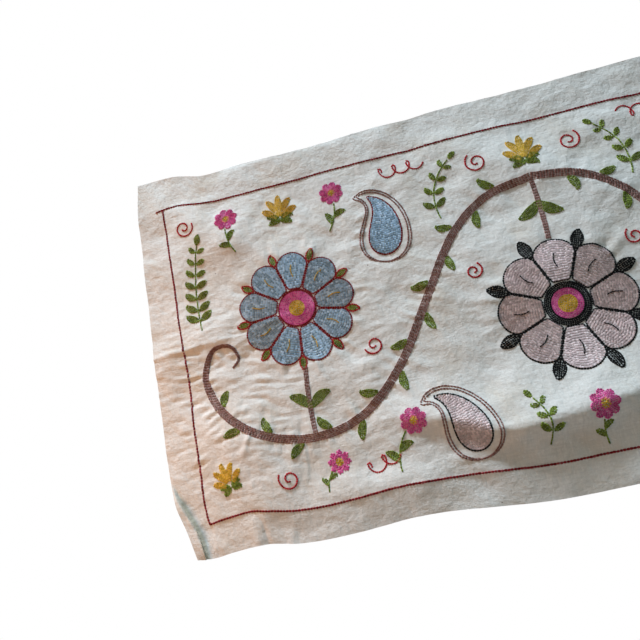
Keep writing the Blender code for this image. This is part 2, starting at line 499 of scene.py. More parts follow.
# A roundel, as shares of its radius: its eye, its petals' half width, where a petal's vein runs, and where
# the small leaves start. Its pupil and the petals' roots are shares of its eye.
EYE = 0.33
PETAL_FULL_HALF = 0.40
PETAL_VEIN = (0.56, 0.78)
VEIN_BEND = 0.12
VEIN_POINTS = 8
VEIN_BREADTH = 0.7
VEIN_LIFT = 0.0006
GAP_LEAF_START = 0.82
GAP_LEAF_BREADTH = 0.55
PUPIL = 0.40
PETAL_FOOT = 1.06
PETAL_OVERLAP = 0.0002
PULLS_A_PETAL = 6


def roundel_petal(work, kind, centre, radius, angle):
    """One broad petal with its vein."""
    foot = PETAL_FOOT * (EYE * radius)
    sweep = swept(SWEEP_POINTS)
    way = np.exp(1j * angle)
    spine = centre + way * (foot + sweep * (radius - foot))
    wedge = np.abs(spine - centre) * np.tan(pi / kind.petals) + PETAL_OVERLAP
    broad = PETAL_FULL_HALF * tau * radius / kind.petals
    work.fill(kind.petal, spine, np.minimum(petal_half(sweep, broad), wedge), kind.outline)
    ends = [centre + share * radius * way for share in PETAL_VEIN]
    work.row(kind.vein, bow(*ends, VEIN_BEND, VEIN_POINTS), width=VEIN_BREADTH * ROW, lift=VEIN_LIFT)


def roundel(work, kind, centre, radius, turn):
    """Broad petals round a ringed heart, with small leaves between their tips."""
    eye = EYE * radius
    heart = PUPIL * eye + kind.heart * eye
    length = kind.leaf_size * radius
    for index in range(kind.petals):
        roundel_petal(work, kind, centre, radius, turn + tau * index / kind.petals)
        between = np.exp(1j * (turn + tau * (index + 0.5) / kind.petals))
        leaf(work, centre + GAP_LEAF_START * radius * between, np.angle(between), length,
             GAP_LEAF_BREADTH * length, kind.gap_leaf, kind.gap_edge)
    work.disc("yellow", centre, PUPIL * eye)
    work.disc("magenta", centre, heart, PUPIL * eye)
    work.disc(kind.outline, centre, eye, heart)
    around = np.exp(1j * np.linspace(0, tau, kind.petals * PULLS_A_PETAL, endpoint=False))
    work.pull(centre + radius * around, around)


# A drop, as shares of its size: how far its tip curls over, in radians, how broad and full it is and how much
# slimmer at the tip, its outlines, and the filled drop inside it.
DROP_CURL = 2.3
DROP_LATENESS = 0.60
DROP_FULLNESS = 0.75
DROP_HALF = 0.30
DROP_SLIMMING = 0.25
DROP_OUTLINES = (0.0, 1.3)
DROP_LEAST_HALF = 0.0006
FILLED_START = 0.085
FILLED_SPAN = 0.775
FILLED_HALF = 0.205
FILLED_LATENESS = 0.62
FILLED_SLIMMING = 0.3
DROP_PULL_STEP = 4


def drop(work, foot, angle, size, hand, fill, edge):
    """A drop whose tip curls over, in a double outline, with a filled drop inside it."""
    share = swept(SWEEP_POINTS)
    way = np.exp(1j * (angle + hand * DROP_CURL * share**3))
    spine = foot + size * np.append(0, np.cumsum(way[:-1] * np.diff(share)))
    across = 1j * heading(spine)
    swell = np.sin(pi * share**DROP_LATENESS) ** DROP_FULLNESS
    half = DROP_HALF * size * swell * (1 - DROP_SLIMMING * share)
    for lines in DROP_OUTLINES:
        inset = lines * LINE
        keep = half > inset + DROP_LEAST_HALF
        side = (np.maximum(half - inset, 0) * across)[keep]
        work.row("brown", np.concatenate([spine[keep] + side, (spine[keep] - side)[::-1]]), True)
    inner = np.interp(FILLED_START + FILLED_SPAN * share, share, spine)
    inner_swell = np.sin(pi * share**FILLED_LATENESS) ** DROP_FULLNESS
    work.fill(fill, inner, FILLED_HALF * size * inner_swell * (1 - FILLED_SLIMMING * share), edge)
    pulled = slice(DROP_PULL_STEP, -DROP_PULL_STEP, DROP_PULL_STEP)
    rim, outward = (half * across)[pulled], across[pulled]
    work.pull(np.concatenate([spine[pulled] + rim, spine[pulled] - rim]), np.concatenate([outward, -outward]))


# ---------------------------------------------------------------- the layout

# One half of the design. The other half is sewn as its mirror image, with small differences.

VINE = (
    (0.0, -0.112), (-0.052, -0.122), (-0.098, -0.158), (-0.140, -0.222), (-0.184, -0.290), (-0.232, -0.334),
    (-0.288, -0.348), (-0.346, -0.336), (-0.386, -0.304), (-0.402, -0.264), (-0.391, -0.232),
    (-0.370, -0.229), (-0.361, -0.244), (-0.369, -0.255),
)  # fmt: skip
VINE_HALF = 0.0052

# The four sides of the border, in the order in which they were sewn. The top one runs on past its corner.
BORDER = (
    ((-0.4375, -0.0435), (-0.4150, -0.0403), (-0.3950, -0.0406), (-0.3350, -0.0430), (-0.3000, -0.0409),
     (-0.2550, -0.0403), (-0.2000, -0.0386), (-0.1300, -0.0403), (0.1800, -0.0420), (0.4300, -0.0400)),
    ((0.4300, -0.0400), (0.4220, -0.2300), (0.4250, -0.4150)),
    ((0.4250, -0.4150), (0.1500, -0.4170), (-0.1500, -0.4165), (-0.3000, -0.4185), (-0.3500, -0.4160),
     (-0.3750, -0.4130), (-0.4050, -0.4145), (-0.4276, -0.4165)),
    ((-0.4276, -0.4165), (-0.4262, -0.4000), (-0.4238, -0.3800), (-0.4222, -0.3500), (-0.4225, -0.3100),
     (-0.4225, -0.2600), (-0.4262, -0.1700), (-0.4285, -0.0430)),
)  # fmt: skip


class Stem(NamedTuple):
    """A bowed stem from its root to its tip, and how large what it bears is."""

    root: tuple
    tip: tuple
    bend: float
    size: float
    pairs: int = 0


SPRIGS = (
    Stem((-0.398, -0.205), (-0.392, -0.098), 0.05, 0.0165, 7),
    Stem((-0.105, -0.135), (-0.082, -0.066), 0.16, 0.0140, 4),
    Stem((-0.055, -0.400), (-0.062, -0.352), -0.14, 0.0130, 3),
)
DAISIES = (
    Stem((-0.345, -0.118), (-0.352, -0.072), 0.10, 0.0135),
    Stem((-0.232, -0.118), (-0.222, -0.070), -0.10, 0.0135),
    Stem((-0.205, -0.402), (-0.183, -0.352), 0.14, 0.0135),
    Stem((-0.284, -0.406), (-0.268, -0.378), 0.14, 0.0115),
)


class Placed(NamedTuple):
    """A motif at a place, turned by an angle."""

    place: tuple
    angle: float
    size: float


TULIPS = (
    Placed((-0.287, -0.092), pi / 2, 0.034),
    Placed((-0.388, -0.388), 1.85, 0.030),
)


class Drop(NamedTuple):
    """A curled drop and its threads."""

    foot: tuple
    angle: float
    size: float
    fill: str
    edge: str


DROPS = (
    Drop((-0.178, -0.170), 1.30, 0.105, "blue", "border_red"),
    Drop((-0.120, -0.402), 1.75, 0.100, "taupe", "black"),
)


class Scroll(NamedTuple):
    """A tendril wound in on itself: where its middle is, and how it winds."""

    centre: tuple
    radius: float
    start: float
    turns: float
    hand: int


SCROLLS = (
    Scroll((-0.052, -0.078), 0.013, 2.2, 1.5, 1),
    Scroll((-0.405, -0.072), 0.012, 0.4, 1.5, -1),
    Scroll((-0.324, -0.386), 0.012, 2.6, 1.4, 1),
    Scroll((-0.085, -0.205), 0.010, 1.0, 1.4, -1),
    Scroll((-0.208, -0.262), 0.011, 3.4, 1.4, 1),
)


class Curls(NamedTuple):
    """A running line of loops: where it starts and which way it runs."""

    start: tuple
    angle: float
    loops: int


CURLS = (
    Curls((-0.160, -0.062), 0.06, 3),
    Curls((-0.236, -0.392), 0.30, 2),
)


class Flower(NamedTuple):
    """A roundel on its stalk: its middle and radius, and where its stalk and the stalk's leaves start."""

    centre: tuple
    radius: float
    stalk_root: tuple
    stalk_head: tuple
    leaf_root: tuple
    leaf_size: float


SIDE_FLOWER = Flower((-0.287, -0.198), 0.067, (-0.288, -0.343), (-0.287, -0.270), (-0.2875, -0.318), 0.030)
MIDDLE_FLOWER = Flower((0.0, -0.262), 0.072, (0.0, -0.117), (0.0, -0.188), (0.0, -0.140), 0.032)
SIDE_FLOWER_TURN = 0.05
SIDE_FLOWER_SWAY = 0.001

MIDDLE_TULIP = Placed((0.0, -0.096), pi / 2, 0.036)
MIDDLE_DAISY = Stem((0.0, -0.409), (0.002, -0.371), 0.05, 0.014)
TULIP_SWAY = 0.05


class Side:
    """Turns what is placed on the left half into the same on this half."""

    def __init__(self, sign):
        self.sign = sign

    def place(self, pair):
        return complex(self.sign * pair[0], pair[1])

    def angle(self, angle):
        return angle if self.sign > 0 else pi - angle

    def turned(self, bend):
        """A bend, or the hand in which something winds."""
        return self.sign * bend


SIDES = (Side(1), Side(-1))
MIDDLE = SIDES[0]

# The border's sway: the height of each wave and its beats in a metre, and how soon it grows from the corners.
SWAY_HEIGHTS = (0.0007, 0.0004)
SWAY_BEATS = (2.5, 9.0)
SWAY_GROWTH = 0.3
BORDER_BREADTH = 1.04


def sew_border(work):
    """Four red lines sewn by eye."""
    for corners in BORDER:
        line = through([complex(*corner) for corner in corners])
        run = lengths_along(line)
        waves = zip(SWAY_HEIGHTS, SWAY_BEATS, work.chance.uniform(0, tau, 2))
        sway = sum(size * np.sin(tau * beats * run + phase) for size, beats, phase in waves)
        sway *= np.clip(np.sin(pi * run / run[-1]), 0, 1) ** SWAY_GROWTH
        work.row("border_red", line + 1j * heading(line) * sway, width=BORDER_BREADTH * LINE)


STALK_BEND = 0.02
STALK_HALF = 0.0022
STALK_LEAF_ANGLE = 0.95
LEAF_SLIMNESS = 0.4
LEAF_BEND = 0.14


def flower_stalk(work, flower, half):
    """The stalk that ties a roundel to the vine, and its two leaves."""
    root, head = half.place(flower.stalk_root), half.place(flower.stalk_head)
    stalk = bow(root, head, STALK_BEND)
    work.band("brown", stalk, np.full(len(stalk), STALK_HALF))
    way = np.angle(head - root)
    size = flower.leaf_size
    for side in (-1, 1):
        leaf(work, half.place(flower.leaf_root), way + side * STALK_LEAF_ANGLE, size, LEAF_SLIMNESS * size,
             bend=-LEAF_BEND * side)


# The vine's leaves: how many there are, where the first and the last one stand, how far they spread from it,
# their size and breadth, and how much their spread and size vary. Its rows draw together towards its tip,
# down to a fifth of their gap, and the outer ones run a little inside its edge.
VINE_LEAVES = 15
VINE_LEAVES_FROM = 0.06
VINE_LEAVES_TO = 0.80
VINE_LEAF_SPREAD = 0.85
VINE_LEAF_SIZE = 0.022
VINE_LEAF_BREADTH = 0.0098
SPREAD_VARIES = 0.08
SIZE_VARIES = 0.001
VINE_TAPER = 5
VINE_TIP = 0.2
VINE_INSET = 0.4
VINE_PULL_STEP = 3
SPRIG_POINTS = 60


def sew_vine_leaves(work, vine):
    """Leaves by turns on one side of the vine and on the other."""
    lean = work.chance.normal
    across = 1j * heading(vine)
    way = np.angle(heading(vine))
    for index, share_at in enumerate(np.linspace(VINE_LEAVES_FROM, VINE_LEAVES_TO, VINE_LEAVES)):
        at = int(share_at * len(vine))
        side = 1 if index % 2 else -1
        angle = way[at] + side * (VINE_LEAF_SPREAD + lean(0, SPREAD_VARIES))
        size = VINE_LEAF_SIZE + lean(0, SIZE_VARIES)
        leaf(work, vine[at] + side * VINE_HALF * across[at], angle, size, VINE_LEAF_BREADTH,
             bend=-LEAF_BEND * side)


def sew_vine(work):
    """A broad brown vine with green leaves, which curls up at both ends."""
    for half in SIDES:
        vine = through([half.place(corner) for corner in VINE])
        share = np.linspace(0, 1, len(vine))
        narrowing = np.clip((1 - share) * VINE_TAPER + VINE_TIP, VINE_TIP, 1)
        work.taper("brown", vine, VINE_HALF - VINE_INSET * ROW, narrowing)
        across = 1j * heading(vine)
        for side in (-1, 1):
            work.pull((vine + side * VINE_HALF * across)[::VINE_PULL_STEP], side * across[::VINE_PULL_STEP])
        sew_vine_leaves(work, vine)
        flower_stalk(work, SIDE_FLOWER, half)
        for stem in SPRIGS:
            line = bow(half.place(stem.root), half.place(stem.tip), half.turned(stem.bend), SPRIG_POINTS)
            sprig(work, line, stem.pairs, stem.size)
    flower_stalk(work, MIDDLE_FLOWER, MIDDLE)


def sew_roundels(work):
    """A blue roundel in each bend of the vine, and a taupe one under its crest."""
    for half in SIDES:
        centre = half.place(SIDE_FLOWER.centre) + SIDE_FLOWER_SWAY * complex(*work.chance.normal(size=2))
        roundel(work, BLUE_ROUNDEL, centre, SIDE_FLOWER.radius, pi / 2 - half.turned(SIDE_FLOWER_TURN))
    roundel(work, TAUPE_ROUNDEL, MIDDLE.place(MIDDLE_FLOWER.centre), MIDDLE_FLOWER.radius, 0.0)


def sew_flowers(work):
    """Daisies and tulips scattered in the spaces."""
    for half in SIDES:
        for stem in DAISIES:
            root, head = half.place(stem.root), half.place(stem.tip)
            stalked_daisy(work, root, head, half.turned(stem.bend), stem.size)
        for flower in TULIPS:
            angle = half.angle(flower.angle) + work.chance.normal(0, TULIP_SWAY)
            tulip(work, half.place(flower.place), angle, flower.size)
    tulip(work, MIDDLE.place(MIDDLE_TULIP.place), MIDDLE_TULIP.angle, MIDDLE_TULIP.size)
    root, head = MIDDLE.place(MIDDLE_DAISY.root), MIDDLE.place(MIDDLE_DAISY.tip)
    stalked_daisy(work, root, head, MIDDLE_DAISY.bend, MIDDLE_DAISY.size)


def sew_drops(work):
    """A curled drop on each slope of the vine, and one under it."""
    for half in SIDES:
        for shape in DROPS:
            foot, angle = half.place(shape.foot), half.angle(shape.angle)
            drop(work, foot, angle, shape.size, half.turned(1), shape.fill, shape.edge)


def sew_tendrils(work):
    """Small red scrolls and loops."""
    for half in SIDES:
        for wound in SCROLLS:
            scroll(work, half.place(wound.centre), wound.radius, half.angle(wound.start), wound.turns,
                   half.turned(wound.hand))
        for run in CURLS:
            curls(work, half.place(run.start), half.angle(run.angle), run.loops)


MOTIFS = {
    "border": sew_border,
    "vine": sew_vine,
    "roundels": sew_roundels,
    "flowers": sew_flowers,
    "drops": sew_drops,
    "tendrils": sew_tendrils,
}


FIRST_SEED = 11


@lru_cache
def needlework(motif):
    """The rows of one group of motifs."""
    work = Needlework(seed=FIRST_SEED + list(MOTIFS).index(motif))
    MOTIFS[motif](work)
    return work


# ---------------------------------------------------------------- the hung cloth


class Section(NamedTuple):
    """One station of a fold: its flat place, how far it stands out there, and how far it reaches."""

    x: float
    z: float
    rise: float
    reach: float


def fold(*sections):
    """A fold from rows of x, z, rise and reach."""
    return tuple(Section(*section) for section in sections)


FINE_FOLDS = (
    # Two soft ridges across the left margin.
    fold((-0.462, -0.227, 0.0016, 0.0030), (-0.430, -0.223, 0.0020, 0.0032),
         (-0.385, -0.221, 0.0015, 0.0030), (-0.345, -0.212, 0.0000, 0.0030)),
    fold((-0.462, -0.244, 0.0010, 0.0030), (-0.420, -0.240, 0.0014, 0.0030),
         (-0.380, -0.233, 0.0000, 0.0034)),
    # A short one that runs on from them under the first roundel.
    fold((-0.345, -0.219, 0.0000, 0.0030), (-0.318, -0.210, 0.0016, 0.0034),
         (-0.285, -0.204, 0.0000, 0.0034)),
    # An upright ridge below the first roundel.
    fold((-0.301, -0.330, 0.0000, 0.0016), (-0.302, -0.350, 0.0011, 0.0016),
         (-0.305, -0.385, 0.0010, 0.0018), (-0.321, -0.414, 0.0000, 0.0022)),
    # The pleat in the bottom margin: its ridge and its trough.
    fold((-0.374, -0.410, 0.0000, 0.0046), (-0.3735, -0.424, 0.0014, 0.0054),
         (-0.372, -0.450, 0.0019, 0.0060)),
    fold((-0.365, -0.418, 0.0000, 0.0022), (-0.3625, -0.430, -0.0013, 0.0024),
         (-0.3600, -0.450, -0.0017, 0.0028)),
    # The top left corner stands forward.
    fold((-0.468, 0.006, 0.0026, 0.0170), (-0.466, -0.030, 0.0022, 0.0160),
         (-0.464, -0.080, 0.0000, 0.0150)),
    # The belly: its crest sharpened, and its underside hollowed.
    fold((-0.215, -0.340, 0.0000, 0.0060), (-0.180, -0.350, 0.0012, 0.0060),
         (-0.130, -0.362, 0.0020, 0.0070), (-0.090, -0.378, 0.0026, 0.0080),
         (-0.040, -0.376, 0.0026, 0.0080), (0.030, -0.366, 0.0020, 0.0090),
         (0.110, -0.352, 0.0000, 0.0100)),
    fold((-0.165, -0.376, 0.0000, 0.0100), (-0.130, -0.390, -0.0018, 0.0120),
         (-0.085, -0.404, -0.0026, 0.0130), (-0.030, -0.403, -0.0026, 0.0130),
         (0.040, -0.394, -0.0018, 0.0130), (0.120, -0.380, 0.0000, 0.0130)),
    # The foot lifts under the belly.
    fold((-0.130, -0.420, 0.0000, 0.0140), (-0.070, -0.428, 0.0017, 0.0150),
         (0.000, -0.428, 0.0019, 0.0160), (0.110, -0.420, 0.0000, 0.0160)),
    # Two small ridges in the bottom margin.
    fold((-0.207, -0.422, 0.0000, 0.0026), (-0.195, -0.450, 0.0012, 0.0030)),
    fold((-0.325, -0.416, 0.0000, 0.0034), (-0.334, -0.450, 0.0014, 0.0040)),
)  # fmt: skip

# Sharp creases from being stored folded, about 0.23 m apart, with two short ones near the top.
STORAGE_CREASES = (
    fold((-0.185, 0.000, 0.0007, 0.0030), (-0.184, -0.170, 0.0006, 0.0030),
         (-0.183, -0.450, 0.0003, 0.0030)),
    fold((-0.340, 0.000, 0.0004, 0.0026), (-0.338, -0.130, 0.0000, 0.0026)),
    fold((-0.158, -0.002, 0.0006, 0.0024), (-0.143, -0.045, 0.0000, 0.0024)),
    fold((0.046, 0.000, 0.0006, 0.0030), (0.047, -0.450, 0.0005, 0.0030)),
    fold((0.276, 0.000, 0.0006, 0.0030), (0.275, -0.450, 0.0004, 0.0030)),
)  # fmt: skip

# A pucker: the least and most of its length and its breadth, how much its bend varies, and how it fades.
PUCKER_LENGTH = (0.014, 0.048)
PUCKER_BREADTH = (0.0018, 0.0036)
PUCKER_RISE = (0.1, 1.0)
PUCKER_BEND = 6.0
PUCKER_START = 0.006
PUCKER_FADE = 1.3

RELIEF_SEED = 23

# How many reaches from its line a fold is still felt.
FOLD_WINDOW = 4

# How much the hills' distances vary, as a share of the usual one.
HILL_SPREAD = 0.5


class Hills(NamedTuple):
    """Random hills: how far apart they usually are each way, and how high they stand."""

    across: float
    down: float
    share: float


# The crumples' hills, which stand as high as a share of them: the soft ones and the fine ones, how patchy the
# fine ones are, and the lines of small creases among them.
SOFT_HILLS = (Hills(0.080, 0.070, 0.42), Hills(0.036, 0.030, 0.22))
FINE_HILLS = (Hills(0.020, 0.014, 0.085), Hills(0.009, 0.007, 0.035))
PATCHES = Hills(0.15, 0.15, 0.6)
PATCH_LIMITS = (0.15, 1.2)
CREASE_LINES = Hills(0.060, 0.050, 0.22)
CREASE_SHARPNESS = 0.08

# How far stitches stiffen the cloth round them, in grid steps, and how much of its relief they press flat.
COVER_BLUR = 2.5
COVER_GAIN = 1.7
COVER_FLOOR = 0.15
COVER_PRESS = 0.8

# The close wrinkles: how far they wander, in metres, how patchy they are, and how much lower than a wave's
# their crests are.
STRAIN_WANDER = (Hills(0.090, 0.050, 0.0028), Hills(0.030, 0.030, 0.0006))
STRAIN_PATCHES = Hills(0.045, 0.022, 0.6)
STRAIN_MEAN = 0.5
STRAIN_MOST = 1.5
STRAIN_FLATTENING = 0.35


class Strain(NamedTuple):
    """A patch of close wrinkles: its middle, its reach each way, their gap, their lean and their height."""

    x: float
    z: float
    across: float
    down: float
    gap: float
    lean: float
    rise: float


STRAINED = (
    Strain(-0.400, -0.290, 0.060, 0.100, 0.0105, -0.16, 1.00),
    Strain(-0.325, -0.290, 0.050, 0.090, 0.0120, 0.20, 0.85),
    Strain(-0.440, -0.235, 0.050, 0.030, 0.0090, 0.06, 0.70),
    Strain(-0.215, -0.300, 0.045, 0.110, 0.0130, -0.30, 0.45),
    Strain(-0.215, -0.160, 0.050, 0.050, 0.0110, -0.45, 0.40),
    Strain(-0.030, -0.250, 0.080, 0.080, 0.0140, 0.25, 0.35),
    Strain(0.215, -0.230, 0.070, 0.120, 0.0125, -0.22, 0.55),
    Strain(0.390, -0.280, 0.060, 0.110, 0.0110, 0.14, 0.75),
)

# The edge strip of the lower left corner turns forward, with a steep flank beside it. The strip starts to
# rise at one z, stands fully forward at the next and is at its widest at the last.
CURL_TOP = -0.362
CURL_RISEN = -0.400
CURL_FULL = -0.437

# The frame's own cells there: how wide their zone is and how many it holds, and how many rows of corners lie
# between shares of the drop. Their facets are smoothed by a blur of that many cells of the cloth's mesh.
FACET_ZONE = 0.03128
FACET_CELLS = 7
FACET_ROWS = ((0.0, 0.71, 20), (0.71, 0.93, 15), (0.93, 1.0, 4))
FACET_BLUR = 1.5


class Curl(NamedTuple):
    """A forward turn of the edge: how wide its strip and its flank are, and how far it stands off."""

    strip: float
    flank: float
    rise: float


SHARP_CURL = Curl(0.0130, 0.0030, 0.0062)
FRAME_CURL = Curl(0.0120, 0.0055, 0.0045)

# Painted shade on the flank beside the turned strip, which stands in for the lamp's light that the strip
# shuts off: where its middle lies, and how far it reaches.
FLANK_SHADE_MIDDLE = 0.0034
FLANK_SHADE_REACH = 0.0038


# Where each edge of the hung panel runs: how far along it, then its X or Z.
TOP_EDGE = (
    (-0.460, 0.002), (-0.448, 0.003), (-0.402, 0.001), (-0.380, -0.005), (-0.330, -0.003), (-0.270, -0.005),
    (-0.200, -0.002), (-0.150, 0.000), (-0.122, -0.001), (-0.100, 0.001), (0.000, 0.001), (0.130, 0.003),
    (0.270, -0.001), (0.400, 0.003), (0.460, 0.001),
)  # fmt: skip
BOTTOM_EDGE = (
    (-0.460, -0.451), (-0.430, -0.452), (-0.405, -0.4495), (-0.360, -0.4475), (-0.325, -0.452),
    (-0.260, -0.451), (-0.200, -0.446), (-0.060, -0.453), (0.100, -0.448), (0.240, -0.453), (0.370, -0.446),
    (0.460, -0.450),
)  # fmt: skip
LEFT_EDGE = (
    (-0.450, -0.4333), (-0.425, -0.4400), (-0.408, -0.4460), (-0.390, -0.4518), (-0.350, -0.4572),
    (-0.300, -0.459), (-0.220, -0.461), (-0.100, -0.463), (-0.040, -0.463), (0.000, -0.460),
)  # fmt: skip
RIGHT_EDGE = ((-0.450, 0.456), (-0.390, 0.461), (-0.280, 0.458), (-0.130, 0.464), (0.000, 0.460))


def mesh_columns():
    """Where the columns of the cloth's mesh stand, at the gaps that its table gives."""
    starts, gaps = np.array(MESH_COLUMNS).T
    fine = np.linspace(starts[0], starts[-1], COLUMN_TRIALS)
    count = np.append(0, np.cumsum(np.diff(fine) / np.interp((fine[1:] + fine[:-1]) / 2, starts, gaps)))
    return np.interp(np.linspace(0, count[-1], int(count[-1]) + 1), count, fine)


FLAT_X = mesh_columns()
FLAT_Z = np.linspace(0, -PANEL_DROP, GRID_ROWS)


# A place on a grid's last line is read from the cell before it.
JUST_INSIDE = 1.001


def sampled(grid, columns, rows):
    """A grid's values between its points, at fractional columns and rows."""
    height, width = grid.shape[:2]
    columns = np.clip(columns, 0, width - JUST_INSIDE)
    rows = np.clip(rows, 0, height - JUST_INSIDE)
    left, top = columns.astype(int), rows.astype(int)
    right_share, low_share = columns - left, rows - top
    if grid.ndim > columns.ndim:
        right_share, low_share = right_share[..., None], low_share[..., None]
    high = grid[top, left] * (1 - right_share) + grid[top, left + 1] * right_share
    low = grid[top + 1, left] * (1 - right_share) + grid[top + 1, left + 1] * right_share
    return high * (1 - low_share) + low * low_share


class HungCloth:
    """The outer face of the hung panel as a grid of places and of the directions that it faces."""

    def __init__(self, place):
        self.place = place
        down = np.gradient(place, axis=0)
        along = np.gradient(place, axis=1)
        facing = np.cross(down, along)
        self.facing = facing / np.linalg.norm(facing, axis=2, keepdims=True)

    def at(self, flat):
        """Places and facings at flat places."""
        columns = np.interp(flat.real, FLAT_X, np.arange(len(FLAT_X)))
        rows = -flat.imag / PANEL_DROP * (GRID_ROWS - 1)
        return [sampled(grid, columns, rows) for grid in (self.place, self.facing)]


def edge_at(points, along):
    """The edge's X or Z at those places along it, on a smooth curve through its points."""
    starts, across = np.array(points).T
    slopes = np.gradient(across, starts)
    after = np.clip(np.searchsorted(starts, along), 1, len(points) - 1)
    gap = starts[after] - starts[after - 1]
    share = np.clip((along - starts[after - 1]) / gap, 0, 1)
    level = across[after - 1] + ease(share) * (across[after] - across[after - 1])
    leaving = slopes[after - 1] * share * (1 - share) ** 2
    arriving = slopes[after] * share**2 * (1 - share)
    return level + gap * (leaving - arriving)


def outlined(column, row):
    """Where flat places lie across the wall, once the four edges wander as the frame's do."""
    half = PANEL_WIDTH / 2
    left = edge_at(LEFT_EDGE, row) + half
    right = edge_at(RIGHT_EDGE, row) - half
    top = edge_at(TOP_EDGE, column)
    foot = edge_at(BOTTOM_EDGE, column) + PANEL_DROP
    x = column + left * np.exp(-(column + half) / EDGE_EASE) + right * np.exp(-(half - column) / EDGE_EASE)
    z = row + top * np.exp(row / EDGE_EASE) + foot * np.exp(-(row + PANEL_DROP) / EDGE_EASE)
    return x, z


def smoothed(grid, spread):
    """A grid blurred by a bell of that many cells."""
    reach = int(3 * spread)
    bell = np.exp(-((np.arange(-reach, reach + 1) / spread) ** 2) / 2)
    bell /= bell.sum()
    for axis in (0, 1):
        margins = [(reach, reach) if axis == other else (0, 0) for other in (0, 1)]
        wide = np.pad(grid, margins, mode="reflect", reflect_type="odd")
        grid = np.apply_along_axis(np.convolve, axis, wide, bell, "valid")
    return grid


def depths(x, z):
    """How far the frame's outer face stands at each place, with its facets smoothed away."""
    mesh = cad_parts[FRAME_NODE].data
    corners = [vertex.co for vertex in mesh.vertices]
    tree = BVHTree.FromPolygons(corners, [tuple(face.vertices) for face in mesh.polygons])
    toward_wall = Vector((0, 1, 0))
    found = np.full(x.shape, np.nan)
    for index in np.ndindex(x.shape):
        hit = tree.ray_cast(Vector((x[index], -1, z[index])), toward_wall)[0]
        if hit is not None:
            found[index] = hit.y
    stations = np.arange(x.shape[1])
    for line in found:
        known = ~np.isnan(line)
        if known.any():
            line[:] = np.interp(stations, stations[known], line[known])
    for line in (0, -1):
        if np.isnan(found[line]).any():
            found[line] = found[line + (1 if line == 0 else -1)]
    return smoothed(found, FACET_BLUR)


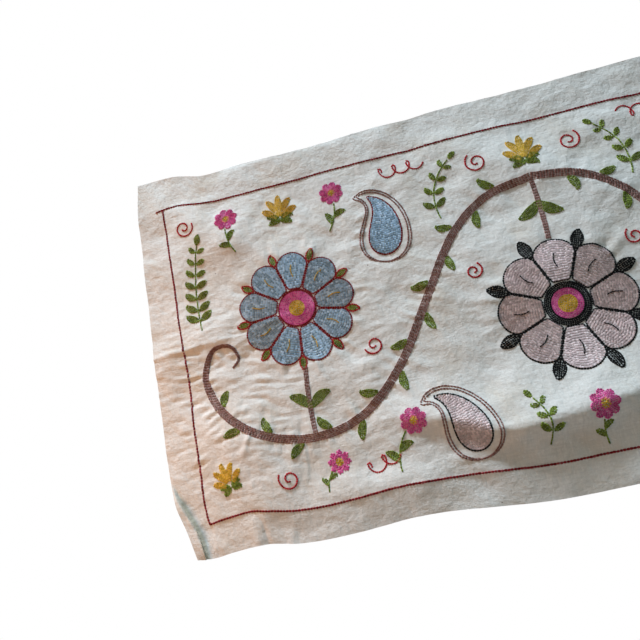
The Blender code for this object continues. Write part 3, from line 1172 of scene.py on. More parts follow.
class Relief:
    """How far the cloth stands out from its broad folds, on a fine even grid over its flat face."""

    def __init__(self, seed):
        self.chance = np.random.default_rng(seed)
        self.x = np.arange(-PANEL_WIDTH / 2, PANEL_WIDTH / 2 + RELIEF_STEP, RELIEF_STEP)
        self.z = -np.arange(0, PANEL_DROP + RELIEF_STEP, RELIEF_STEP)
        self.flat = self.x[None, :] + 1j * self.z[:, None]
        self.height = np.zeros(self.flat.shape)

    def window(self, places, reach):
        """The part of the grid within reach of some places."""
        places = np.atleast_1d(places)
        low = int(max((places.real.min() - reach - self.x[0]) / RELIEF_STEP, 0))
        high = int(max((places.real.max() + reach - self.x[0]) / RELIEF_STEP + 2, 0))
        top = int(max(-(places.imag.max() + reach) / RELIEF_STEP, 0))
        foot = int(max(-(places.imag.min() - reach) / RELIEF_STEP + 2, 0))
        return slice(top, foot), slice(low, high)

    def add_fold(self, sections, sharp):
        """A soft ridge, or a sharp crease, through its sections."""
        line = through([complex(section.x, section.z) for section in sections])
        stations = np.linspace(0, len(sections) - 1, len(line))
        known = np.arange(len(sections))
        rises = np.interp(stations, known, [section.rise for section in sections])
        reaches = np.interp(stations, known, [section.reach for section in sections])
        near = self.window(line, FOLD_WINDOW * reaches.max())
        apart = np.abs(self.flat[near][..., None] - line)
        nearest = apart.argmin(axis=-1)
        share = np.take_along_axis(apart, nearest[..., None], -1)[..., 0] / reaches[nearest]
        self.height[near] += rises[nearest] * (np.exp(-share) if sharp else np.exp(-(share**2)))

    def add_pucker(self, place, outward, high):
        """A short wrinkle that runs away from a stitch and dies out."""
        length = self.chance.uniform(*PUCKER_LENGTH)
        broad = self.chance.uniform(*PUCKER_BREADTH)
        rise = high * self.chance.normal(*PUCKER_RISE)
        bend = self.chance.normal(0, PUCKER_BEND)
        near = self.window(place, length + 2 * broad)
        away = (self.flat[near] - place) * np.conj(outward)
        start = np.clip(away.real / PUCKER_START + 1, 0, 1)
        fade = start * (1 - np.clip(away.real / length, 0, 1)) ** PUCKER_FADE
        off = (away.imag - bend * away.real**2) / (broad * (1 + away.real / length))
        self.height[near] += rise * fade * np.exp(-(off**2))

    def even_hills(self, kind):
        """Soft random hills about 1 high."""
        rows, columns = self.flat.shape
        rate = np.hypot(np.fft.fftfreq(rows, RELIEF_STEP)[:, None] * kind.down,
                        np.fft.fftfreq(columns, RELIEF_STEP)[None, :] * kind.across)
        band = np.exp(-(((rate - 1) / HILL_SPREAD) ** 2))
        hills = np.real(np.fft.ifft2(np.fft.fft2(self.chance.standard_normal((rows, columns))) * band))
        return hills / hills.std()

    def hills(self, *kinds):
        """Soft random hills of all those kinds, each as high as its share."""
        return sum(kind.share * self.even_hills(kind) for kind in kinds)

    def stiffen(self, rows):
        """Flattens the fine relief where the cloth is covered with stitches."""
        cover = np.zeros(self.flat.shape)
        for row in rows:
            steps = even_steps(row.line, RELIEF_STEP)
            across = ((steps.real - self.x[0]) / RELIEF_STEP).astype(int)
            down = (-steps.imag / RELIEF_STEP).astype(int)
            np.add.at(cover, (down, across), 1.0)
        cover = ease(smoothed(np.minimum(cover, 1), COVER_BLUR) * COVER_GAIN - COVER_FLOOR)
        self.height *= 1 - COVER_PRESS * cover

    def add_crumple(self, high):
        """The soft unevenness of cotton that has been folded, washed and hung again."""
        patchy = np.clip(self.hills(PATCHES) + PATCHES.share, *PATCH_LIMITS)
        crease = np.exp(-np.abs(self.even_hills(CREASE_LINES)) / CREASE_SHARPNESS)
        soft = self.hills(*SOFT_HILLS)
        fine = self.hills(*FINE_HILLS)
        self.height += high * (soft + patchy * (fine + CREASE_LINES.share * crease))

    def add_strain(self, high):
        """Close wrinkles across the cloth, where the rows of stitches shrink it most."""
        for patch in STRAINED:
            off = (self.flat.real - patch.x) / patch.across, (self.flat.imag - patch.z) / patch.down
            share = np.exp(-(off[0] ** 2) - off[1] ** 2)
            lean = self.flat.imag + patch.lean * (self.flat.real - patch.x)
            ridges = np.sin(tau * (lean + self.hills(*STRAIN_WANDER)) / patch.gap)
            uneven = np.clip(STRAIN_MEAN + self.hills(STRAIN_PATCHES), 0, STRAIN_MOST)
            self.height += high * patch.rise * share * uneven * (ridges - STRAIN_FLATTENING * ridges**2)

    def at(self, flat):
        return sampled(self.height, (flat.real - self.x[0]) / RELIEF_STEP, -flat.imag / RELIEF_STEP)


def past_strip(flat, curl):
    """How far flat places lie beyond the turned strip, and how far the strip has risen at their height."""
    grown = ease((flat.imag - CURL_TOP) / (CURL_FULL - CURL_TOP))
    risen = ease((flat.imag - CURL_TOP) / (CURL_RISEN - CURL_TOP))
    return flat.real + PANEL_WIDTH / 2 - grown * curl.strip, risen


def curl_height(flat, curl):
    """The forward turn of the lower left corner's edge strip."""
    past, risen = past_strip(flat, curl)
    return curl.rise * risen * (1 - ease(past / curl.flank))


def painted_flank_shade(flat):
    """How much painted shade the turned strip's flank gets: all of it along its middle, and none beside it.
    """
    past, risen = past_strip(flat, SHARP_CURL)
    return risen * np.exp(-(((past - FLANK_SHADE_MIDDLE) / FLANK_SHADE_REACH) ** 4))


def framed_curl(flat):
    """The curl as the frame has it, with flat facets between its own columns and rows."""
    columns = np.linspace(0, FACET_ZONE, FACET_CELLS + 1) - PANEL_WIDTH / 2
    shares = np.concatenate([[0.0], *(np.linspace(*zone)[1:] for zone in FACET_ROWS)])
    rows = -PANEL_DROP * shares
    corners = curl_height(columns + 1j * rows[:, None], FRAME_CURL)
    across = np.interp(flat.real, columns, np.arange(len(columns)))
    down = np.interp(-flat.imag, -rows, np.arange(len(rows)))
    return sampled(corners, across, down)


@lru_cache
def hung_cloth(crumple, pucker, strain):
    """The panel as it hangs, with every wrinkle too fine for the frame."""
    column, row = np.meshgrid(FLAT_X, FLAT_Z)
    x, z = outlined(column, row)
    base = HungCloth(np.stack([x, depths(x, z), z], axis=2))
    relief = Relief(RELIEF_SEED)
    relief.add_crumple(crumple)
    relief.add_strain(strain)
    relief.stiffen([row for motif in MOTIFS for row in needlework(motif).rows])
    for sections in FINE_FOLDS:
        relief.add_fold(sections, False)
    for sections in STORAGE_CREASES:
        relief.add_fold(sections, True)
    for motif in MOTIFS:
        for place, outward in needlework(motif).pulls:
            relief.add_pucker(place, outward, pucker)
    flat = column + 1j * row
    height = relief.at(flat) + curl_height(flat, SHARP_CURL) - smoothed(framed_curl(flat), FACET_BLUR)
    return HungCloth(base.place + base.facing * height[..., None])


# ---------------------------------------------------------------- node trees


class Streaks(NamedTuple):
    """Noise drawn out along threads: its scale each way, and its detail."""

    scales: tuple
    detail: float


class Bump(NamedTuple):
    """How strong a bump is, and how high."""

    strength: float
    distance: float


class Amount:
    """A number from a node, which adds and multiplies like any number."""

    def __init__(self, nodes, socket):
        self.nodes = nodes
        self.socket = socket

    def sum(self, operation, *terms):
        node = self.nodes.add("ShaderNodeMath", {"operation": operation}, dict(enumerate(terms)))
        return Amount(self.nodes, node.outputs[0])

    def __add__(self, other):
        return self.sum("ADD", self, other)

    def __sub__(self, other):
        return self.sum("SUBTRACT", self, other)

    def __rsub__(self, other):
        return self.sum("SUBTRACT", other, self)

    def __mul__(self, other):
        return self.sum("MULTIPLY", self, other)

    def __truediv__(self, other):
        return self.sum("DIVIDE", self, other)

    def __lt__(self, other):
        return self.sum("LESS_THAN", self, other)

    def __gt__(self, other):
        return self.sum("GREATER_THAN", self, other)

    def sine(self):
        return self.sum("SINE", self)

    __radd__ = __add__
    __rmul__ = __mul__


class Nodes:
    """Adds nodes to one tree."""

    def __init__(self, tree):
        self.tree = tree

    def add(self, kind, settings=None, sockets=None):
        """A node of a kind, with its settings made first and then its sockets set or linked."""
        node = self.tree.nodes.new(kind)
        for name, value in (settings or {}).items():
            setattr(node, name, value)
        for name, value in (sockets or {}).items():
            self.join(value, node.inputs[name])
        return node

    def join(self, value, socket):
        if isinstance(value, Amount):
            self.tree.links.new(value.socket, socket)
        elif isinstance(value, bpy.types.NodeSocket):
            self.tree.links.new(value, socket)
        elif hasattr(value, "__len__") and not isinstance(value, str):
            size = len(socket.default_value)
            socket.default_value = (*value, 1.0)[:size]
        else:
            socket.default_value = value

    def amount(self, node, output):
        return Amount(self, node.outputs[output])

    def noise(self, vector, scale, detail, roughness=0.5):
        sockets = {"Vector": vector, "Scale": scale, "Detail": detail, "Roughness": roughness}
        return self.amount(self.add("ShaderNodeTexNoise", None, sockets), "Fac")

    def stretched(self, vector, scales):
        node = self.add("ShaderNodeVectorMath", {"operation": "MULTIPLY"}, {0: vector, 1: scales})
        return node.outputs["Vector"]

    def drawn_out(self, vector, streaks):
        """Noise drawn out along threads."""
        return self.noise(self.stretched(vector, streaks.scales), 1.0, streaks.detail)

    def map_places(self, name):
        """A UV map's places, and their two parts as amounts."""
        places = self.add("ShaderNodeUVMap", {"uv_map": name}).outputs[0]
        parts = self.add("ShaderNodeSeparateXYZ", None, {0: places})
        return places, self.amount(parts, "X"), self.amount(parts, "Y")

    def attribute(self, name):
        return self.amount(self.add("ShaderNodeAttribute", {"attribute_name": name}), "Fac")

    def bump(self, kind, height, below=None):
        """A bump of that kind, on top of another one if there is one below."""
        sockets = {"Strength": kind.strength, "Distance": kind.distance, "Height": height}
        if below is not None:
            sockets["Normal"] = below
        return self.add("ShaderNodeBump", None, sockets).outputs[0]

    def faded(self, value, low, high):
        """0 below low and 1 above high, with a smooth step between."""
        settings = {"interpolation_type": "SMOOTHSTEP"}
        sockets = {"Value": value, "From Min": low, "From Max": high}
        return self.amount(self.add("ShaderNodeMapRange", settings, sockets), "Result")

    def mixed(self, factor, first, second):
        """Two colours mixed."""
        sockets = {0: factor, 6: first, 7: second}
        return self.add("ShaderNodeMix", {"data_type": "RGBA"}, sockets).outputs[2]


def new_material(name):
    """A material with an empty node tree, and the helper that fills it."""
    material = bpy.data.materials.new(name)
    material.use_nodes = True
    material.node_tree.nodes.clear()
    return material, Nodes(material.node_tree)


def shaded(nodes, colour, roughness, normal, constants):
    """Ends a material in one Principled shader."""
    sockets = {"Base Color": colour, "Roughness": roughness, "Normal": normal, **constants}
    shader = nodes.add("ShaderNodeBsdfPrincipled", None, sockets)
    nodes.add("ShaderNodeOutputMaterial", None, {"Surface": shader.outputs[0]})


def darker(colour, share):
    return tuple(part * share for part in colour)


def paler(colour, share):
    return tuple(part + (1 - part) * share for part in colour)


# ---------------------------------------------------------------- materials


# The cotton's threads: streaks and slubs along the warp and the weft, and the warp's share of the streaks.
WARP_SLUBS = Streaks((900, 28, 0), 2.0)
WEFT_SLUBS = Streaks((22, 820, 0), 2.0)
WARP_STREAKS = Streaks((460, 90, 0), 3.0)
WEFT_STREAKS = Streaks((80, 430, 0), 3.0)
WARP_SHARE = 0.4

# Noises over the cotton: scale, detail and roughness.
MOTTLE = (17.0, 4.0, 0.62)
LINT = (240.0, 2.0)
NAP = (420.0, 3.0)
CRINKLE = (130.0, 4.0, 0.60)

# The levels of noise between which each tint fades in, how strong it is, and how much darker or paler.
STAIN_LEVELS = (0.45, 0.74)
STAIN_STRENGTH = 0.50
THREAD_LEVELS = (0.38, 0.62)
SLUB_STRENGTH = 0.22
SLUB_SHADE = 0.72
STREAK_STRENGTH = 0.30
STREAK_SHADE = 0.66
LINT_LEVELS = (0.58, 0.72)
LINT_STRENGTH = 0.30
LINT_PALENESS = 0.60

# Seed specks: how close together their cells are, how large a speck is in its cell, and which cells hold one.
SPECK_SCALE = 34.0
SPECK_SIZE = 0.028
SPECK_RARITY = 0.62
SPECK_STRENGTH = 0.7
SPECK_BROWN = (0.12, 0.07, 0.04)
# Painted shade: the colour that the turned strip's flank is darkened towards, where the strip shuts off the
# lamp's light, and how strongly.
PAINTED_FLANK_SHADE_COLOUR = (0.50, 0.44, 0.33)
PAINTED_FLANK_SHADE_STRENGTH = 0.85

# How high the weave, its slubs, its streaks and its nap stand in the cotton's fine bump.
WEAVE_HEIGHT = 0.35
SLUB_HEIGHT = 1.2
STREAK_HEIGHT = 0.5
NAP_HEIGHT = 0.6
WEAVE_BUMP = Bump(0.55, 0.00022)
CRINKLE_BUMP = Bump(0.8, 0.0017)
COTTON_ROUGHNESS = 0.86
MOTTLED_ROUGHNESS = 0.10
COTTON_GLOSS = {"Sheen Weight": 0.12, "Sheen Roughness": 0.6, "Specular IOR Level": 0.25}


def cotton_tints(nodes, cloth, flat, slubs, streaks, mottle):
    """The cotton's colour, tinted by stains, thick threads, streaks and lint."""
    stains = nodes.faded(mottle, *STAIN_LEVELS) * STAIN_STRENGTH
    colour = nodes.mixed(stains, cloth.colour, cloth.stain)
    thick = nodes.faded(slubs, *THREAD_LEVELS) * SLUB_STRENGTH
    colour = nodes.mixed(thick, colour, darker(cloth.colour, SLUB_SHADE))
    colour = nodes.mixed(streaks * STREAK_STRENGTH, colour, darker(cloth.colour, STREAK_SHADE))
    lint = nodes.faded(nodes.noise(flat, *LINT), *LINT_LEVELS) * LINT_STRENGTH
    return nodes.mixed(lint, colour, paler(cloth.colour, LINT_PALENESS))


def cotton_marks(nodes, flat, colour):
    """A colour with seed specks, and with painted shade on the turned strip's flank."""
    cells = nodes.add("ShaderNodeTexVoronoi", None, {"Vector": flat, "Scale": SPECK_SCALE})
    near = nodes.amount(cells, "Distance") < SPECK_SIZE
    pick = nodes.add("ShaderNodeSeparateColor", None, {0: cells.outputs["Color"]})
    speck = near * (nodes.amount(pick, "Red") > SPECK_RARITY)
    colour = nodes.mixed(speck * SPECK_STRENGTH, colour, SPECK_BROWN)
    # Painted shade on the turned strip's flank.
    return nodes.mixed(nodes.attribute("grey") * PAINTED_FLANK_SHADE_STRENGTH, colour, PAINTED_FLANK_SHADE_COLOUR)


def cotton_material(cloth):
    """Undyed plain weave with thick and thin threads, faint stains and a few seed specks."""
    material, nodes = new_material("undyed_cotton")
    flat, warp, weft = nodes.map_places("weave")
    beat = tau / (2 * cloth.thread_gap)
    weave = (warp * beat).sine() * (weft * beat).sine()
    slubs = (nodes.drawn_out(flat, WARP_SLUBS) + nodes.drawn_out(flat, WEFT_SLUBS)) * 0.5
    warp_streaks = nodes.drawn_out(flat, WARP_STREAKS) * WARP_SHARE
    weft_streaks = nodes.drawn_out(flat, WEFT_STREAKS) * (1 - WARP_SHARE)
    streaks = nodes.faded(warp_streaks + weft_streaks, *THREAD_LEVELS)
    mottle = nodes.noise(flat, *MOTTLE)
    colour = cotton_marks(nodes, flat, cotton_tints(nodes, cloth, flat, slubs, streaks, mottle))

    nap = nodes.noise(flat, *NAP) * NAP_HEIGHT
    height = weave * WEAVE_HEIGHT + slubs * SLUB_HEIGHT + streaks * STREAK_HEIGHT + nap
    fine = nodes.bump(WEAVE_BUMP, height)
    bumps = nodes.bump(CRINKLE_BUMP, nodes.noise(flat, *CRINKLE), fine)
    shaded(nodes, colour, COTTON_ROUGHNESS + mottle * MOTTLED_ROUGHNESS, bumps, COTTON_GLOSS)
    return material


class DyeAndGlint(NamedTuple):
    """How a thread's colour varies, as shares of its own colour, and how much painted glint its stitches get.
    """

    dark: float
    pale: float
    painted_glint: float
    sheen: float


DYES_AND_GLINTS = {
    "border_red": DyeAndGlint(0.60, 0.02, 0.10, 0.03),
    "bright_red": DyeAndGlint(0.70, 0.02, 0.12, 0.03),
    "blue": DyeAndGlint(0.50, 0.14, 0.75, 0.05),
    "taupe": DyeAndGlint(0.62, 0.14, 0.65, 0.05),
    "brown": DyeAndGlint(0.70, 0.05, 0.30, 0.04),
    "green": DyeAndGlint(0.50, 0.02, 0.16, 0.03),
    "magenta": DyeAndGlint(0.70, 0.08, 0.25, 0.04),
    "yellow": DyeAndGlint(0.66, 0.04, 0.20, 0.03),
    "black": DyeAndGlint(0.60, 0.008, 0.02, 0.02),
}

# A thread's shade: the skein's noise, its share of the shade against each stitch's own, and its levels.
SKEIN = (40.0, 2.0)
SKEIN_SHARE = 0.45
SHADE_LEVELS = (0.22, 0.78)
# Painted highlight: stitches whose own random draw lies high are paled this far towards white, as glints off
# the thread.
PAINTED_GLINT_LEVELS = (0.78, 0.98)
PAINTED_GLINT_PALENESS = 0.45
# The strand's twist: how many turns it makes, and the painted shade along its grooves, how strong and how
# dark.
TWISTS = 26.0
TWIST_PAINTED_SHADE_STRENGTH = 0.14
TWIST_PAINTED_SHADE = 0.4
FIBRE = (3200.0, 2.0)
FIBRE_HEIGHT = 0.5
TWIST_BUMP = Bump(0.6, 0.00012)
THREAD_ROUGHNESS = 0.58
FIBRE_ROUGHNESS = 0.2
THREAD_GLOSS = {"Sheen Roughness": 0.5, "Specular IOR Level": 0.18}


def thread_material(thread, colour):
    """Soft twisted cotton thread, whose shade drifts along the skein and from stitch to stitch, with painted
    glints on a few stitches and painted shade along its twist.
    """
    name = f"{thread}_thread"
    if name in bpy.data.materials:
        return bpy.data.materials[name]
    material, nodes = new_material(name)
    dye_and_glint = DYES_AND_GLINTS[thread]
    place = nodes.add("ShaderNodeTexCoord").outputs["Object"]
    _, along, around = nodes.map_places("strand")
    shade = nodes.attribute("shade")
    depth = nodes.faded(nodes.noise(place, *SKEIN) * SKEIN_SHARE + shade * (1 - SKEIN_SHARE), *SHADE_LEVELS)
    tone = nodes.mixed(depth, darker(colour, dye_and_glint.dark), paler(colour, dye_and_glint.pale))
    # Painted highlight: glints paled into a few stitches.
    painted_glint_mask = nodes.faded(shade, *PAINTED_GLINT_LEVELS) * dye_and_glint.painted_glint
    tone = nodes.mixed(painted_glint_mask, tone, paler(colour, PAINTED_GLINT_PALENESS))
    twist = (along * TWISTS + around * tau).sine() * 0.5 + 0.5
    # Painted shade in the grooves of the twist.
    tone = nodes.mixed(twist * TWIST_PAINTED_SHADE_STRENGTH, tone, darker(colour, TWIST_PAINTED_SHADE))
    fibre = nodes.noise(place, *FIBRE)
    bumps = nodes.bump(TWIST_BUMP, twist + fibre * FIBRE_HEIGHT)
    gloss = {"Sheen Weight": dye_and_glint.sheen, **THREAD_GLOSS}
    shaded(nodes, tone, THREAD_ROUGHNESS + fibre * FIBRE_ROUGHNESS, bumps, gloss)
    return material


# ---------------------------------------------------------------- stitches


STRANDS_A_STITCH = 3
STRAND_SIDES = 3

# How much of a strand's strip of its map, and of a stitch's cell of the bake map, is left free at each end.
STRIP_MARGIN = 0.1
CELL_MARGIN = 0.05

# A leg of a link: its stations as shares of the link's length, of a row and of its height, half its breadth
# in rows, and how far its ends sink into the cloth. Then how far the strand behind stands off, and half its
# breadth.
LEG_ALONG = (-0.20, 0.22, 0.80, 1.18)
LEG_OFF = (0.08, 0.25, 0.23, 0.04)
LEG_HIGH = (0.50, 0.60)
LEG_HALF = 0.30
SINK = 0.00010
BACK_STANDS_OFF = 0.00020
BACK_HALF = 0.00036

# How far apart the points of a row's guide line are.
GUIDE_STEP = 0.0016


class Strand:
    """Collects the faces of thin threads, and how far along and around its thread each corner is."""

    def __init__(self):
        self.points = []
        self.faces = []
        self.corners = []
        self.count = 0

    def thread(self, stations):
        """A closed thread through stations of (x, y, z, thickness), pointed at both ends."""
        first = len(self.points)
        start, *rings, stop = stations
        self.points.append(start[:3])
        for x, y, z, thick in rings:
            for side in range(STRAND_SIDES):
                turn = pi / 2 + tau * (side + 1) / STRAND_SIDES
                self.points.append((x, y + thick * np.cos(turn), z + thick * np.sin(turn)))
        self.points.append(stop[:3])
        for side in range(STRAND_SIDES):
            self.strip(first, len(rings), side)
        self.count += 1

    def strip(self, first, rings, side):
        """The faces along one side of a thread, from its first point to its last."""
        after = (side + 1) % STRAND_SIDES
        used = 1 - 2 * STRIP_MARGIN
        low, high = (self.count + STRIP_MARGIN + used * share / STRAND_SIDES for share in (side, side + 1))
        middle = (low + high) / 2
        steps = rings + 1
        self.face((first, first + 1 + side, first + 1 + after),
                  ((0, middle), (1 / steps, low), (1 / steps, high)))
        for ring in range(rings - 1):
            near = first + 1 + ring * STRAND_SIDES
            far = near + STRAND_SIDES
            here, there = (ring + 1) / steps, (ring + 2) / steps
            self.face((near + side, far + side, far + after, near + after),
                      ((here, low), (there, low), (there, high), (here, high)))
        end = first + 1 + (rings - 1) * STRAND_SIDES
        here = rings / steps
        self.face((end + side, end + STRAND_SIDES, end + after), ((here, low), (1, middle), (here, high)))

    def face(self, vertices, corners):
        self.faces.append(vertices)
        self.corners.append(corners)


def link_leg(length, height, side):
    """The stations of one leg, from where the link before holds it to where it goes into the cloth."""
    highs = (-SINK, *(share * height for share in LEG_HIGH), -SINK)
    thicks = (0, LEG_HALF * ROW, LEG_HALF * ROW, 0)
    stations = zip(LEG_ALONG, LEG_OFF, highs, thicks)
    return [(along * length, off * side * ROW, high, thick) for along, off, high, thick in stations]


def stitch_mesh(length, height, thickness):
    """One link of chain stitch: two legs on the face of the cloth, and a strand behind it."""
    strand = Strand()
    for side in (-1, 1):
        strand.thread(link_leg(length, height, side))
    behind = -thickness
    strand.thread((
        (0.0, 0.0, behind + SINK, 0),
        (0.5 * length, 0.0, behind - BACK_STANDS_OFF, BACK_HALF),
        (length, 0.0, behind + SINK, 0),
    ))  # fmt: skip
    mesh = bpy.data.meshes.new("chain_link")
    mesh.from_pydata(strand.points, [], strand.faces)
    strand_map = mesh.uv_layers.new(name="strand")
    strand_map.uv.foreach_set("vector", np.array([c for face in strand.corners for c in face], float).ravel())
    mesh.shade_smooth()
    return mesh


def tree_input(tree, name, kind, default=None):
    socket = tree.interface.new_socket(name, in_out="INPUT", socket_type=kind)
    if default is not None:
        socket.default_value = default
    return socket


def stitch_inputs(tree):
    """The tree's named inputs, and the output that its stitches leave by."""
    tree_input(tree, "Rows", "NodeSocketGeometry")
    tree_input(tree, "Link", "NodeSocketObject")
    tree_input(tree, "Stitch length", "NodeSocketFloat", STITCH_LENGTH)
    tree_input(tree, "Unevenness", "NodeSocketFloat", STITCH_UNEVENNESS)
    tree_input(tree, "Seed", "NodeSocketInt", STITCH_SEED)
    tree_input(tree, "Thread", "NodeSocketMaterial")
    tree.interface.new_socket("Stitches", in_out="OUTPUT", socket_type="NodeSocketGeometry")


def row_value(nodes, name, kind="FLOAT"):
    """What a row's guide line says under that name."""
    return nodes.add("GeometryNodeInputNamedAttribute", {"data_type": kind}, {"Name": name}).outputs[0]


class Chance:
    """Random differences between stitches. Each use has a draw of its own."""

    def __init__(self, nodes, given):
        self.nodes = nodes
        self.seed = Amount(nodes, given["Seed"])
        self.spread = Amount(nodes, given["Unevenness"])

    def between(self, low, high, draw):
        sockets = {"Seed": self.seed + draw}
        node = self.nodes.add("FunctionNodeRandomValue", {"data_type": "FLOAT"}, sockets)
        return self.nodes.amount(node, 1) * (high - low) + low


def stitch_places(nodes, given):
    """The rows as curves, with a point at each end of every stitch."""
    curves = nodes.add("GeometryNodeMeshToCurve", None, {"Mesh": given["Rows"]})
    run = nodes.amount(nodes.add("GeometryNodeSplineLength"), "Length")
    pace = Amount(nodes, row_value(nodes, "pace"))
    wanted = run / (pace * Amount(nodes, given["Stitch length"]))
    count = wanted.sum("ROUND", wanted).sum("MAXIMUM", wanted, 1) + 1
    sockets = {"Curve": curves.outputs[0], "Count": count}
    return nodes.add("GeometryNodeResampleCurve", {"mode": "COUNT"}, sockets).outputs[0]


def stitch_scale(nodes, given, chance):
    """A stitch reaches from its point to the next one, and is as broad as its row."""
    spline = nodes.add("GeometryNodeSplineLength")
    gap = nodes.amount(spline, "Length") / (nodes.amount(spline, "Point Count") - 1)
    length = Amount(nodes, given["Stitch length"])
    long = gap / length * (1 + chance.between(-0.5, 0.5, 0) * chance.spread)
    breadth = Amount(nodes, row_value(nodes, "breadth"))
    broad = breadth * (1 + chance.between(-0.5, 0.5, 1) * chance.spread)
    high = 1 + chance.between(-1, 1, 2) * chance.spread
    return nodes.add("ShaderNodeCombineXYZ", None, {0: long, 1: broad, 2: high}).outputs[0]


def stitch_turn(nodes, chance):
    """A stitch runs along its row, faces as the cloth does, and leans a little."""
    facing = row_value(nodes, "facing", "FLOAT_VECTOR")
    along = nodes.add("GeometryNodeInputTangent").outputs[0]
    turn = nodes.add("FunctionNodeAxesToRotation", {"primary_axis": "Z", "secondary_axis": "X"},
                     {"Primary Axis": facing, "Secondary Axis": along})
    tilt = chance.between(-1, 1, 3) * chance.spread
    swing = chance.between(-0.5, 0.5, 4) * chance.spread
    lean = nodes.add("ShaderNodeCombineXYZ", None, {0: tilt, 2: swing})
    leaning = nodes.add("FunctionNodeEulerToRotation", None, {0: lean.outputs[0]})
    turned = nodes.add("FunctionNodeRotateRotation", {"rotation_space": "LOCAL"},
                       {0: turn.outputs[0], 1: leaning.outputs[0]})
    return turned.outputs[0]


def stitch_tree():
    """Lays a link of chain stitch at every step along the rows, each a little unlike the last."""
    if "chain_stitch" in bpy.data.node_groups:
        return bpy.data.node_groups["chain_stitch"]
    tree = bpy.data.node_groups.new("chain_stitch", "GeometryNodeTree")
    stitch_inputs(tree)
    nodes = Nodes(tree)
    given = nodes.add("NodeGroupInput").outputs
    chance = Chance(nodes, given)
    last = nodes.add("GeometryNodeCurveEndpointSelection", None, {"Start Size": 0, "End Size": 1})
    others = nodes.add("FunctionNodeBooleanMath", {"operation": "NOT"}, {0: last.outputs[0]})
    link = nodes.add("GeometryNodeObjectInfo", None, {"Object": given["Link"]})
    stitches = nodes.add("GeometryNodeInstanceOnPoints", None, {
        "Points": stitch_places(nodes, given),
        "Selection": others.outputs[0],
        "Instance": link.outputs["Geometry"],
        "Rotation": stitch_turn(nodes, chance),
        "Scale": stitch_scale(nodes, given, chance),
    })  # fmt: skip
    shades = nodes.add("GeometryNodeStoreNamedAttribute", {"data_type": "FLOAT", "domain": "INSTANCE"},
                       {"Geometry": stitches.outputs[0], "Name": "shade", "Value": chance.between(0, 1, 5)})
    real = nodes.add("GeometryNodeRealizeInstances", None, {"Geometry": shades.outputs[0]})
    dressed = nodes.add("GeometryNodeSetMaterial", None,
                        {"Geometry": real.outputs[0], "Material": given["Thread"]})
    nodes.add("NodeGroupOutput", None, {0: dressed.outputs[0]})
    return tree


def new_object(name, mesh):
    piece = bpy.data.objects.new(name, mesh)
    bpy.context.scene.collection.objects.link(piece)
    return piece


def discard(helper):
    """Removes an object that only helped to make others, and its mesh."""
    mesh = helper.data
    bpy.data.objects.remove(helper)
    bpy.data.meshes.remove(mesh)


def row_lines(rows, cloth, step):
    """A mesh of bare edges that follows the rows over the cloth."""
    places, facings, breadths, paces, edges = [], [], [], [], []
    count = 0
    for row in rows:
        place, facing = cloth.at(even_steps(row.line, step))
        places.append(place + facing * row.lift)
        facings.append(facing)
        breadths.append(resampled(row.line, row.width, len(place)) / ROW)
        paces.append(np.full(len(place), row.pace))
        numbers = np.arange(count, count + len(place))
        edges.append(np.stack([numbers[:-1], numbers[1:]], axis=1))
        count += len(place)
    mesh = bpy.data.meshes.new("rows")
    mesh.from_pydata(np.concatenate(places).tolist(), np.concatenate(edges).tolist(), [])
    facing = mesh.attributes.new("facing", "FLOAT_VECTOR", "POINT")
    facing.data.foreach_set("vector", np.concatenate(facings).ravel())
    for name, values in (("breadth", breadths), ("pace", paces)):
        mesh.attributes.new(name, "FLOAT", "POINT").data.foreach_set("value", np.concatenate(values))
    return mesh


def applied(guide, tree, values, name):
    """What a node tree makes of a guide object, as a plain mesh object in its place."""
    modifier = guide.modifiers.new("Nodes", "NODES")
    modifier.node_group = tree
    for item in tree.interface.items_tree:
        if item.in_out == "INPUT" and item.name in values:
            modifier[item.identifier] = values[item.name]
    depsgraph = bpy.context.evaluated_depsgraph_get()
    mesh = bpy.data.meshes.new_from_object(guide.evaluated_get(depsgraph))
    guide.modifiers.remove(modifier)
    discard(guide)
    mesh.name = name
    return new_object(name, mesh)


def lay_out_stitches(mesh, corners):
    """Gives every stitch a cell of the bake map, and every strand of a stitch a strip of that cell."""
    number = np.arange(len(mesh.loops))
    stitch = number // corners
    cells = int(np.ceil(np.sqrt(len(number) / corners)))
    strand = np.empty(2 * len(number))
    mesh.uv_layers["strand"].uv.foreach_get("vector", strand)
    along, around = strand.reshape(-1, 2).T
    across = around / STRANDS_A_STITCH
    inside = CELL_MARGIN + (1 - 2 * CELL_MARGIN) * along
    laid = np.stack([(stitch % cells + inside) / cells, (stitch // cells + across) / cells], axis=1)
    mesh.uv_layers.new(name="OFBake").uv.foreach_set("vector", laid.ravel())


def sew(motif, context):
    """Makes the stitches of one group of motifs, one piece for each colour of thread."""
    cloth, stitch = context.scene.hanging_cloth, context.scene.hanging_stitch
    surface = hung_cloth(cloth.crumple, cloth.pucker, cloth.strain)
    link = new_object("chain_link", stitch_mesh(stitch.length, stitch.height, cloth.thickness))
    rows = needlework(motif).rows
    for thread in dict.fromkeys(row.thread for row in rows):
        own_rows = [row for row in rows if row.thread == thread]
        guide = new_object("rows", row_lines(own_rows, surface, GUIDE_STEP))
        colour = tuple(getattr(context.scene.hanging_threads, thread))
        values = {"Link": link, "Stitch length": stitch.length, "Unevenness": stitch.unevenness,
                  "Seed": stitch.seed, "Thread": thread_material(thread, colour)}
        piece = applied(guide, stitch_tree(), values, f"{motif}_{thread}")
        lay_out_stitches(piece.data, len(link.data.loops))
        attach(piece, "root")
    discard(link)


# ---------------------------------------------------------------- the panel

